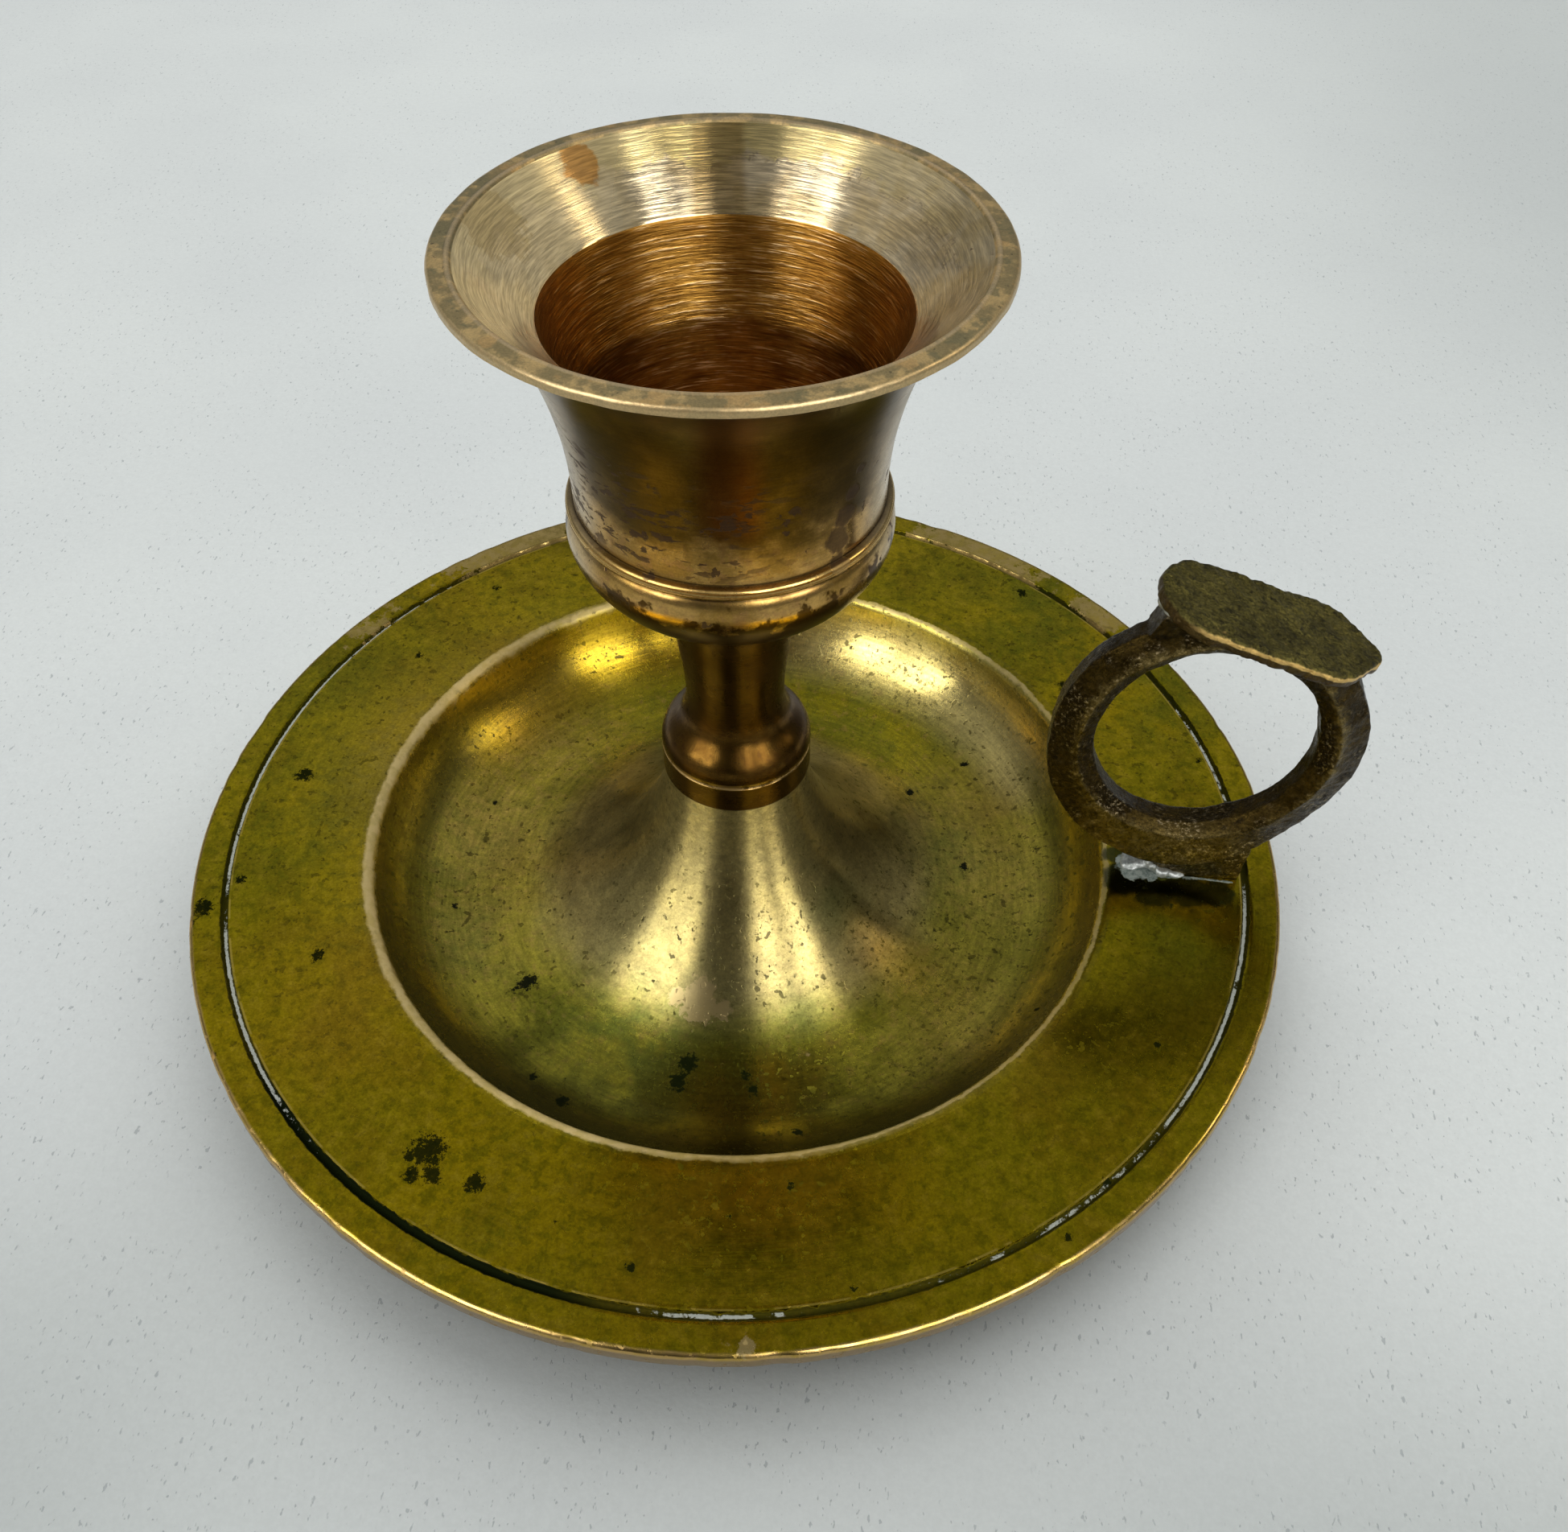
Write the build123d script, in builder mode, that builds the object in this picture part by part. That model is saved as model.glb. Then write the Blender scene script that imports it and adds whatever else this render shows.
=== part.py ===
"""Brass chamberstick: a drip pan with a finger ring, and a turned candle cup on a short stem.

Millimetres. +Z is up and the stick stands on Z = 0. The axis of the turned pieces is the Z axis,
and the finger ring stands on the flange in the XZ plane, on the +X side.
"""
import os
from math import cos, radians, sin, tan

from build123d import *

os.makedirs("parts", exist_ok=True)

# ---- drip pan ---------------------------------------------------------------------------------
PAN_RADIUS = 50.0
PAN_THICKNESS = 2.0
FLANGE_TOP = 9.75
FLANGE_UNDER = FLANGE_TOP - PAN_THICKNESS
EDGE_ROUND = 0.5

WELL_FLOOR = 2.1
LIP_RADIUS = 1.1            # rounded corner between the flange and the well
LIP_OUTER_R = 34.9          # where that corner meets the flange
WALL_TURN = 80.0            # steepest slope of the well's wall, degrees

GROOVE_R = 46.95
GROOVE_WIDTH = 1.0
GROOVE_DEPTH = 0.45

CONE_FOOT_R = 24.0
CONE_TOP_R = 6.2
CONE_TOP = 18.85            # the flat seat of the stem
CONE_HOLLOW_R = 4.4
BASE_INNER_R = 22.0         # the flat ring that the pan stands on starts here

# ---- candle cup ---------------------------------------------------------------------------------
RIM_TOP = 68.2
RIM_RADIUS = 19.2
RIM_THICKNESS = 0.75
LAND_INNER_R = 17.65        # the rim's flat land ends here and the mouth's cone begins
MOUTH_R = 12.75
MOUTH_Z = 63.3
BORE_R = 10.8
BORE_TOP = 56.0
BORE_FLOOR = 44.5
WAIST_R = 11.7
BEAD_TOP = 48.7
BEAD_HEIGHT = 1.0
BEAD_R = 12.25
BOWL_R = 12.45
BOWL_Z = 46.4

# ---- stem ---------------------------------------------------------------------------------------
STEM_TOP = 39.0
STEM_TOP_R = 6.0
NECK_R = 4.2
NECK_Z = 28.3
KNOP_R = 6.55
KNOP_SHOULDER = 22.0        # the ridge between the knop's dome and its straight band
SPIGOT_R = 3.0
SPIGOT_LENGTH = 4.4

# ---- stem screw and washer ----------------------------------------------------------------------
SCREW_R = 2.0
SCREW_CLEARANCE_R = 2.25
SCREW_DEPTH = 11.0          # into the stem
SCREW_HEAD_R = 3.5
SCREW_HEAD_HEIGHT = 2.4
SLOT_WIDTH = 0.9
SLOT_DEPTH = 1.1
WASHER_R = 4.1
WASHER_THICKNESS = 0.8
CONE_CEILING = CONE_TOP - PAN_THICKNESS

# ---- finger ring --------------------------------------------------------------------------------
RING_X = 39.65
RING_Z = 26.7
RING_DEPTH = 3.8            # from the hole to the outside
RIDGE_DEPTH = 1.5           # the side ridges stand this far out from the hole
INNER_FLAT = 1.9
OUTER_FLAT = 1.8
HOLE_HALF_WIDTH = 9.0
HOLE_HALF_HEIGHT = 10.1
RING_WIDTH = 4.2            # across the ridges
FOOT_WIDTH = 2.2
FOOT_INNER_X = 38.9
FOOT_OUTER_X = 46.3
FOOT_SHOULDER = 12.4
SADDLE_X = 34.4             # inner end of the seat that carries the thumb plate
PEG_X = 43.0
PEG_R = 1.2
PEG_HEAD_R = 1.9
PEG_HEAD_HEIGHT = 0.6
PEG_ROOT = 1.0              # the peg runs this far up into the foot

# ---- thumb plate --------------------------------------------------------------------------------
PLATE_TILT = 17.5           # slopes down outwards, degrees
PLATE_X = 42.1
PLATE_TOP_Z = 40.0          # at PLATE_X
PLATE_BACK_X, PLATE_BACK_R = -5.1, 4.4      # three rounds, along the plate from PLATE_X, make its outline
PLATE_FRONT_X, PLATE_FRONT_R = 4.0, 4.5
PLATE_TIP_X, PLATE_TIP_R = 8.0, 1.5
PLATE_THICKNESS = 1.2
PLATE_EDGE_ROUND = 0.3
SEAT_OUTER_X = 48.3         # outer end of the ring's seat
SOLDER_WIDTH = 2.8
SOLDER_DROP = 1.0
FOOT_SOLDER_WIDTH = 2.6
FOOT_SOLDER_X = 35.6        # inner end of the solder on the flange

# ---- drip pan: one turned section ---------------------------------------------------------------
well_rise = FLANGE_TOP - WELL_FLOOR
both_radii = well_rise / (1 - cos(radians(WALL_TURN)))
wall_radius = both_radii - LIP_RADIUS
wall_start_r = LIP_OUTER_R - both_radii * sin(radians(WALL_TURN))
outer_wall_radius = wall_radius + WELL_FLOOR
wall_centre_z = WELL_FLOOR + wall_radius
flange_drop = wall_centre_z - FLANGE_UNDER
outer_wall_r = wall_start_r + (outer_wall_radius**2 - flange_drop**2) ** 0.5

with BuildPart() as drip_pan:
    with BuildSketch(Plane.XZ):
        with BuildLine():
            cone = Spline(
                (CONE_TOP_R, CONE_TOP),
                (9.6, 10.0),
                (14.6, 5.0),
                (19.0, 2.75),
                (CONE_FOOT_R, WELL_FLOOR),
                tangents=[(0.15, -1), (1, 0)],
            )
            Line((CONE_FOOT_R, WELL_FLOOR), (wall_start_r, WELL_FLOOR))
            wall = JernArc((wall_start_r, WELL_FLOOR), (1, 0), wall_radius, WALL_TURN)
            lip = JernArc(wall @ 1, wall % 1, LIP_RADIUS, -WALL_TURN)
            Polyline(
                lip @ 1,
                (GROOVE_R - GROOVE_WIDTH / 2, FLANGE_TOP),
                (GROOVE_R - GROOVE_WIDTH / 4, FLANGE_TOP - GROOVE_DEPTH),
                (GROOVE_R + GROOVE_WIDTH / 4, FLANGE_TOP - GROOVE_DEPTH),
                (GROOVE_R + GROOVE_WIDTH / 2, FLANGE_TOP),
                (PAN_RADIUS - EDGE_ROUND, FLANGE_TOP),
            )
            top_edge = JernArc((PAN_RADIUS - EDGE_ROUND, FLANGE_TOP), (1, 0), EDGE_ROUND, -90)
            Line(top_edge @ 1, (PAN_RADIUS, FLANGE_UNDER + EDGE_ROUND))
            under_edge = JernArc((PAN_RADIUS, FLANGE_UNDER + EDGE_ROUND), (0, -1), EDGE_ROUND, -90)
            Line(under_edge @ 1, (outer_wall_r, FLANGE_UNDER))
            RadiusArc((outer_wall_r, FLANGE_UNDER), (wall_start_r, 0), outer_wall_radius)
            Line((wall_start_r, 0), (BASE_INNER_R, 0))
            Spline(
                (BASE_INNER_R, 0),
                (17.5, 0.95),
                (12.7, 3.7),
                (7.5, 9.2),
                (CONE_HOLLOW_R, CONE_CEILING),
                tangents=[(-1, 0), (-0.12, 1)],
            )
            Polyline(
                (CONE_HOLLOW_R, CONE_CEILING),
                (SCREW_CLEARANCE_R, CONE_CEILING),
                (SCREW_CLEARANCE_R, CONE_TOP),
                (CONE_TOP_R, CONE_TOP),
            )
        make_face()
    revolve(axis=Axis.Z)
    with Locations((PEG_X, 0, FLANGE_TOP)):
        Hole(PEG_R)

# ---- candle cup -----------------------------------------------------------------------------------
bead_bottom = BEAD_TOP - BEAD_HEIGHT

with BuildPart() as candle_cup:
    with BuildSketch(Plane.XZ):
        with BuildLine():
            Polyline(
                (0, BORE_FLOOR),
                (BORE_R, BORE_FLOOR),
                (BORE_R, BORE_TOP),
                (MOUTH_R, MOUTH_Z),
                (LAND_INNER_R, RIM_TOP - 0.1),
                (LAND_INNER_R + 0.1, RIM_TOP),
                (RIM_RADIUS - 0.2, RIM_TOP),
                (RIM_RADIUS, RIM_TOP - 0.2),
                (RIM_RADIUS, RIM_TOP - RIM_THICKNESS),
            )
            Spline(
                (RIM_RADIUS, RIM_TOP - RIM_THICKNESS),
                (14.9, 63.5),
                (13.0, 58.9),
                (11.95, 53.7),
                (WAIST_R, BEAD_TOP),
                tangents=[(-1, -0.45), (0, -1)],
            )
            ThreePointArc((WAIST_R, BEAD_TOP), (BEAD_R, BEAD_TOP - BEAD_HEIGHT / 2), (11.95, bead_bottom))
            Spline(
                (11.95, bead_bottom),
                (BOWL_R, BOWL_Z),
                (11.4, 43.2),
                (9.0, 40.9),
                (STEM_TOP_R, STEM_TOP),
                tangents=[(0.9, -1), (-1, -1.1)],
            )
            Polyline(
                (STEM_TOP_R, STEM_TOP),
                (SPIGOT_R, STEM_TOP),
                (SPIGOT_R, STEM_TOP + SPIGOT_LENGTH),
                (0, STEM_TOP + SPIGOT_LENGTH),
                (0, BORE_FLOOR),
            )
        make_face()
    revolve(axis=Axis.Z)

# ---- baluster stem --------------------------------------------------------------------------------
with BuildPart() as baluster_stem:
    with BuildSketch(Plane.XZ):
        with BuildLine():
            Polyline(
                (0, STEM_TOP + SPIGOT_LENGTH),
                (SPIGOT_R, STEM_TOP + SPIGOT_LENGTH),
                (SPIGOT_R, STEM_TOP),
                (STEM_TOP_R, STEM_TOP),
            )
            Spline(
                (STEM_TOP_R, STEM_TOP),
                (4.75, 34.0),
                (NECK_R, NECK_Z),
                (4.85, 25.0),
                (6.1, 23.6),
                (KNOP_R, KNOP_SHOULDER),
                tangents=[(-1, -1.6), (0, -1)],
            )
            Polyline(
                (KNOP_R, KNOP_SHOULDER),
                (KNOP_R, CONE_TOP + 0.2),
                (KNOP_R - 0.2, CONE_TOP),
                (SCREW_R, CONE_TOP),
                (SCREW_R, CONE_TOP + SCREW_DEPTH),
                (0, CONE_TOP + SCREW_DEPTH),
                (0, STEM_TOP + SPIGOT_LENGTH),
            )
        make_face()
    revolve(axis=Axis.Z)

# ---- stem washer ----------------------------------------------------------------------------------
with BuildPart() as stem_washer:
    with BuildSketch(Plane.XY.offset(CONE_CEILING - WASHER_THICKNESS)):
        Circle(WASHER_R)
        Circle(SCREW_CLEARANCE_R, mode=Mode.SUBTRACT)
    extrude(amount=WASHER_THICKNESS)

# ---- stem screw: slotted cheese head, shank up into the stem --------------------------------------
head_seat = CONE_CEILING - WASHER_THICKNESS
head_under = head_seat - SCREW_HEAD_HEIGHT

with BuildPart() as stem_screw:
    with BuildSketch(Plane.XY.offset(head_under)):
        Circle(SCREW_HEAD_R)
    extrude(amount=SCREW_HEAD_HEIGHT)
    with BuildSketch(Plane.XY.offset(head_seat)):
        Circle(SCREW_R)
    extrude(amount=CONE_TOP + SCREW_DEPTH - 0.5 - head_seat)
    with BuildSketch(Plane.XY.offset(head_under)):
        Rectangle(2.5 * SCREW_HEAD_R, SLOT_WIDTH)
    extrude(amount=SLOT_DEPTH, mode=Mode.SUBTRACT)
    chamfer(stem_screw.edges().filter_by(GeomType.CIRCLE).sort_by(Axis.Z)[-1], 0.4)

# ---- finger ring ----------------------------------------------------------------------------------
seat_plane_z = PLATE_TOP_Z - PLATE_THICKNESS / cos(radians(PLATE_TILT))   # under the plate, at PLATE_X
plate_slope = tan(radians(PLATE_TILT))


def seat_height(x):
    """Height of the plate's underside at this X."""
    return seat_plane_z - plate_slope * (x - PLATE_X)


hole_end_x = RING_X + HOLE_HALF_WIDTH
above = 2 * HOLE_HALF_HEIGHT

with BuildPart() as finger_ring:
    with BuildLine(Plane.XZ):
        hole_line = EllipticalCenterArc((RING_X, RING_Z), HOLE_HALF_WIDTH, HOLE_HALF_HEIGHT, arc_size=360)
    with BuildSketch(Plane.XY.offset(RING_Z)):
        with BuildLine():
            Polyline(
                (hole_end_x, -INNER_FLAT / 2),
                (hole_end_x + RIDGE_DEPTH, -RING_WIDTH / 2),
                (hole_end_x + RING_DEPTH, -OUTER_FLAT / 2),
                (hole_end_x + RING_DEPTH, OUTER_FLAT / 2),
                (hole_end_x + RIDGE_DEPTH, RING_WIDTH / 2),
                (hole_end_x, INNER_FLAT / 2),
                close=True,
            )
        make_face()
    sweep(path=hole_line)
    # the foot, drawn down from the ring to the flange, and the saddle under the plate's inner end
    with BuildSketch(Plane.XZ.offset(-FOOT_WIDTH / 2)):
        with BuildLine():
            Polyline(
                (FOOT_INNER_X, FLANGE_TOP),
                (FOOT_OUTER_X, FLANGE_TOP),
                (FOOT_OUTER_X, FOOT_SHOULDER),
                (RING_X + 0.75 * HOLE_HALF_WIDTH, RING_Z - HOLE_HALF_HEIGHT),
                (RING_X - 0.45 * HOLE_HALF_WIDTH, RING_Z - 1.2 * HOLE_HALF_HEIGHT),
                close=True,
            )
        make_face()
        with BuildLine():
            Polyline(
                (SADDLE_X - 1.6, seat_height(SADDLE_X) - 3.0),
                (SADDLE_X, seat_height(SADDLE_X)),
                (RING_X, seat_height(RING_X)),
                (RING_X, RING_Z + 1.1 * HOLE_HALF_HEIGHT),
                close=True,
            )
        make_face()
    extrude(amount=FOOT_WIDTH)
    # the flat seat of the thumb plate
    with BuildSketch(Plane.XZ.offset(-RING_WIDTH)):
        with BuildLine():
            Polyline(
                (RING_X - above, seat_height(RING_X - above)),
                (RING_X + above, seat_height(RING_X + above)),
                (RING_X + above, RING_Z + 2 * above),
                (RING_X - above, RING_Z + 2 * above),
                close=True,
            )
        make_face()
    extrude(amount=2 * RING_WIDTH, mode=Mode.SUBTRACT)
    # the peg through the flange, riveted over underneath
    with BuildSketch(Plane.XY.offset(FLANGE_UNDER - PEG_HEAD_HEIGHT)):
        with Locations((PEG_X, 0)):
            Circle(PEG_HEAD_R)
    extrude(amount=PEG_HEAD_HEIGHT)
    with BuildSketch(Plane.XY.offset(FLANGE_UNDER)):
        with Locations((PEG_X, 0)):
            Circle(PEG_R)
    extrude(amount=PAN_THICKNESS + PEG_ROOT)

# ---- thumb plate: rounded at the inner end, drawn to a blunt point at the outer end ------------------
plate_plane = Plane(
    origin=(PLATE_X, 0, PLATE_TOP_Z),
    x_dir=(cos(radians(PLATE_TILT)), 0, -sin(radians(PLATE_TILT))),
    z_dir=(sin(radians(PLATE_TILT)), 0, cos(radians(PLATE_TILT))),
)

with BuildPart() as thumb_plate:
    with BuildSketch(plate_plane.offset(-PLATE_THICKNESS)):
        with Locations((PLATE_BACK_X, 0)):
            Circle(PLATE_BACK_R)
        with Locations((PLATE_FRONT_X, 0)):
            Circle(PLATE_FRONT_R)
        with Locations((PLATE_TIP_X, 0)):
            Circle(PLATE_TIP_R)
        make_hull()
    extrude(amount=PLATE_THICKNESS)
    top_face = thumb_plate.faces().sort_by(Axis((0, 0, 0), tuple(plate_plane.z_dir)))[-1]
    fillet(top_face.edges(), PLATE_EDGE_ROUND)

# ---- solder between the plate and the ring: a small wedge at each end of the seat ------------------
with BuildPart() as thumb_plate_solder:
    with BuildSketch(Plane.XZ.offset(-SOLDER_WIDTH / 2)):
        for near_x, far_x, inset, root_x in (
            (SADDLE_X + 0.5, SADDLE_X - 1.1, -0.2, SADDLE_X + 1.1),
            (SEAT_OUTER_X - 0.5, SEAT_OUTER_X + 1.7, -0.5, SEAT_OUTER_X),
        ):
            with BuildLine():
                Polyline(
                    (near_x, seat_height(near_x)),
                    (far_x, seat_height(far_x)),
                    (far_x + inset, seat_height(far_x) - SOLDER_DROP),
                    (root_x, seat_height(root_x) - 2 * SOLDER_DROP),
                    close=True,
                )
            make_face()
    extrude(amount=SOLDER_WIDTH)
    add(finger_ring.part, mode=Mode.SUBTRACT)

# ---- solder beside the ring's foot: a low wedge on the flange, under the ring ------------------------
with BuildPart() as ring_foot_solder:
    with BuildSketch(Plane.XZ.offset(-FOOT_SOLDER_WIDTH / 2)):
        with BuildLine():
            Polyline(
                (FOOT_INNER_X + 0.5, FLANGE_TOP),
                (FOOT_SOLDER_X, FLANGE_TOP),
                (FOOT_SOLDER_X + 0.5, FLANGE_TOP + 0.5),
                (FOOT_INNER_X - 1.2, FLANGE_TOP + 1.3),
                (FOOT_INNER_X + 0.5, FLANGE_TOP + 0.6),
                close=True,
            )
        make_face()
    extrude(amount=FOOT_SOLDER_WIDTH)
    add(finger_ring.part, mode=Mode.SUBTRACT)

# ---- export -----------------------------------------------------------------------------------------
pieces = {
    "drip_pan": drip_pan,
    "candle_cup": candle_cup,
    "baluster_stem": baluster_stem,
    "stem_screw": stem_screw,
    "stem_washer": stem_washer,
    "finger_ring": finger_ring,
    "thumb_plate": thumb_plate,
    "thumb_plate_solder": thumb_plate_solder,
    "ring_foot_solder": ring_foot_solder,
}
for name, piece in pieces.items():
    piece.part.label = name
    export_step(piece.part, f"parts/{name}.step")
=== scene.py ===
"""Looks of the brass chamberstick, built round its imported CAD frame.

Lengths in the tables below are millimetres in the row frame: +Z up, the pan's axis on Z, the
finger ring on +X.
"""

import math
import random

import bmesh
import bpy
import numpy as np
from mathutils import Matrix, Vector, noise


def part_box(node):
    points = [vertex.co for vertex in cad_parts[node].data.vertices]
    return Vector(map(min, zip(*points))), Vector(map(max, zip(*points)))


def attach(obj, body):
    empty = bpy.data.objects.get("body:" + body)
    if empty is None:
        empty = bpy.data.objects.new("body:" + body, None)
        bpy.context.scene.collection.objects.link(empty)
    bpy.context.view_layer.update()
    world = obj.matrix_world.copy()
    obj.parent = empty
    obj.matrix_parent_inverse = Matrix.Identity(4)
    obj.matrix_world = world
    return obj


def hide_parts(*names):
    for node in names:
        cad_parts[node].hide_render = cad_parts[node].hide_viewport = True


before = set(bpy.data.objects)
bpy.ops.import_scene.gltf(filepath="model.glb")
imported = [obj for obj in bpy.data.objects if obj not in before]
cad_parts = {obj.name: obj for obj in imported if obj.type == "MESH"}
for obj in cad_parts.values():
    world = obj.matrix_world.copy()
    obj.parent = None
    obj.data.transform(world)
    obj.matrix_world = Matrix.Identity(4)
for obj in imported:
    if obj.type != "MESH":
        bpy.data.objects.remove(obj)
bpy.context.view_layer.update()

MM = 0.001
SEED = 11
BODY = "root"
CAMERA_SIDE = math.radians(9)
random.seed(SEED)

# ---- shapes: lengths from the CAD nodes' boxes ---------------------------------------------------
pan_high = np.array(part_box("drip_pan")[1]) / MM
cup_low, cup_high = (np.array(c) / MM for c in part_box("candle_cup"))
stem_low, stem_high = (np.array(c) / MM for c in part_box("baluster_stem"))
ring_low, ring_high = (np.array(c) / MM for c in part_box("finger_ring"))

PAN_R = pan_high[0]
FLANGE_TOP = 9.75
FLANGE_UNDER = 7.75
CONE_TOP = pan_high[2]
RIM_TOP = cup_high[2]
RIM_R = cup_high[0]
STEM_FOOT = stem_low[2]
SPIGOT_TOP = stem_high[2]
STEM_TOP = cup_low[2]
GROOVE_R = 46.95


def curve(points, start, end, count):
    """Points along a smooth curve through `points`, leaving along `start` and arriving along `end`."""
    p = np.array(points, float)
    h = np.linalg.norm(np.diff(p, axis=0), axis=1)
    n = len(p)
    a = np.zeros((n, n))
    b = np.zeros((n, 2))
    a[0, 0] = a[-1, -1] = 1
    b[0] = np.array(start) / np.linalg.norm(start)
    b[-1] = np.array(end) / np.linalg.norm(end)
    for i in range(1, n - 1):
        a[i, i - 1], a[i, i], a[i, i + 1] = h[i], 2 * (h[i - 1] + h[i]), h[i - 1]
        b[i] = 3 * (h[i] * (p[i] - p[i - 1]) / h[i - 1] + h[i - 1] * (p[i + 1] - p[i]) / h[i])
    m = np.linalg.solve(a, b)
    t = np.concatenate([[0], np.cumsum(h)])
    out = []
    for s in np.linspace(0, t[-1], count):
        i = min(max(np.searchsorted(t, s) - 1, 0), n - 2)
        u = (s - t[i]) / h[i]
        out.append((2 * u**3 - 3 * u**2 + 1) * p[i] + (u**3 - 2 * u**2 + u) * h[i] * m[i]
                   + (3 * u**2 - 2 * u**3) * p[i + 1] + (u**3 - u**2) * h[i] * m[i + 1])
    return [tuple(q) for q in out]


def arc(centre, radius, start, stop, count):
    """Points on a circle between two angles in degrees."""
    return [(centre[0] + radius * math.cos(math.radians(d)), centre[1] + radius * math.sin(math.radians(d)))
            for d in np.linspace(start, stop, count)]


def run(a, b, count):
    """Evenly spaced points from a towards b, without b."""
    return [tuple(np.array(a) + (np.array(b) - np.array(a)) * i / count) for i in range(count)]


def add_object(name, mesh):
    obj = bpy.data.objects.new(name, mesh)
    bpy.context.collection.objects.link(obj)
    return obj


def add_solid(name, bm):
    """An object from a bmesh, which is used up."""
    mesh = bpy.data.meshes.new(name)
    bm.to_mesh(mesh)
    bm.free()
    return add_object(name, mesh)


def new_object(name, verts, faces, slots=None, sharp=35.0):
    """A smooth-shaded object from vertices in millimetres, creased past the sharp angle in degrees."""
    mesh = bpy.data.meshes.new(name)
    mesh.from_pydata([tuple(v) for v in np.array(verts) * MM], [], faces)
    if slots is not None:
        mesh.polygons.foreach_set("material_index", slots)
    bm = bmesh.new()
    bm.from_mesh(mesh)
    bmesh.ops.remove_doubles(bm, verts=bm.verts, dist=1e-7)
    bmesh.ops.recalc_face_normals(bm, faces=bm.faces)
    bm.to_mesh(mesh)
    bm.free()
    mesh.shade_smooth()
    mesh.set_sharp_from_angle(angle=math.radians(sharp))
    return add_object(name, mesh)


def quads(rows, n, closed=False):
    """Faces between neighbouring rows of n vertices each, and between the last and the first if closed."""
    return [[i * n + j, i * n + (j + 1) % n, (i + 1) % rows * n + (j + 1) % n, (i + 1) % rows * n + j]
            for i in range(rows if closed else rows - 1) for j in range(n)]


def lathe(name, zones, segments, shape=None, closed=False):
    """A turned piece. zones is a list of outline stretches [(r, z), ...], each with its own material."""
    zone_of = [index for index, stretch in enumerate(zones) for _ in stretch]
    line = np.array([point for stretch in zones for point in stretch], float)
    turn = np.linspace(0, 2 * math.pi, segments, endpoint=False)
    r = np.repeat(line[:, :1], segments, 1)
    z = np.repeat(line[:, 1:], segments, 1)
    a = np.repeat(turn[None, :], len(line), 0)
    if shape:
        r, z = shape(r, z, a)
    verts = np.stack([r * np.cos(a), r * np.sin(a), z], -1).reshape(-1, 3)
    faces, slots = [], []
    for i0, i1, i2, i3 in quads(len(line), segments, closed):
        row, next_row = i0 // segments, i3 // segments
        if line[row, 0] == 0:
            faces.append([row * segments, i2, i3])
        elif line[next_row, 0] == 0:
            faces.append([i0, i1, next_row * segments])
        else:
            faces.append([i0, i1, i2, i3])
        slots.append(zone_of[row])
    used = sorted({v for f in faces for v in f})
    index = {v: n for n, v in enumerate(used)}
    return new_object(name, verts[used], [[index[v] for v in f] for f in faces], slots)


def wave(a, seed, terms):
    """A smooth random wave round the turn, within about -1 and 1."""
    rng = random.Random(seed)
    total = np.zeros_like(a)
    for n in terms:
        total += rng.uniform(0.4, 1.0) * np.sin(n * a + rng.uniform(0, 2 * math.pi))
    return total / len(terms) ** 0.5


# ---- drip pan -------------------------------------------------------------------------------------
WELL_FLOOR = 2.1
WELL_R = 34.9
LIP_ROUND = 1.1
EDGE_ROUND = 0.5
WALL_TURN = math.radians(80)
SCREW_HOLE_R = 2.25
wall_round = (FLANGE_TOP - WELL_FLOOR) / (1 - math.cos(WALL_TURN)) - LIP_ROUND
wall_foot = WELL_R - (wall_round + LIP_ROUND) * math.sin(WALL_TURN)
under_round = wall_round + WELL_FLOOR
under_centre = WELL_FLOOR + wall_round
under_turn = math.degrees(math.asin((under_centre - FLANGE_UNDER) / under_round))
cone = curve([(6.2, CONE_TOP), (9.6, 10.0), (14.6, 5.0), (19.0, 2.75), (24.0, WELL_FLOOR)],
             (0.15, -1), (1, 0), 90)
wall = arc((wall_foot, under_centre), wall_round, -90, -10, 26)
lip = arc((WELL_R, FLANGE_TOP - LIP_ROUND), LIP_ROUND, 170, 90, 14)
flange = run((WELL_R, FLANGE_TOP), (GROOVE_R - 0.58, FLANGE_TOP), 40)
# across the groove: from its middle, and from the flange's top
GROOVE_SECTION = [(-0.58, 0), (-0.46, 0.015), (-0.38, 0), (-0.32, -0.1), (-0.25, -0.27), (-0.14, -0.34),
                  (0, -0.35), (0.14, -0.32), (0.26, -0.2), (0.34, -0.05), (0.44, 0)]
groove = [(GROOVE_R + out, FLANGE_TOP + up) for out, up in GROOVE_SECTION]
rim_band = run((GROOVE_R + 0.65, FLANGE_TOP), (PAN_R - EDGE_ROUND, FLANGE_TOP), 9)
edge = (arc((PAN_R - EDGE_ROUND, FLANGE_TOP - EDGE_ROUND), EDGE_ROUND, 90, 0, 8)
        + arc((PAN_R - EDGE_ROUND, FLANGE_UNDER + EDGE_ROUND), EDGE_ROUND, 0, -90, 8))
bell = curve([(22.0, 0), (17.5, 0.95), (12.7, 3.7), (7.5, 9.2), (4.4, CONE_TOP - 2)], (-1, 0), (-0.12, 1), 60)
under = (run((PAN_R - 0.9, FLANGE_UNDER), (36.5, FLANGE_UNDER), 34)
         + arc((wall_foot, under_centre), under_round, -under_turn, -90, 24)
         + run((wall_foot - 0.4, 0), (22.2, 0), 8)
         + bell
         + [(SCREW_HOLE_R, CONE_TOP - 2), (SCREW_HOLE_R, CONE_TOP)])


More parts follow.
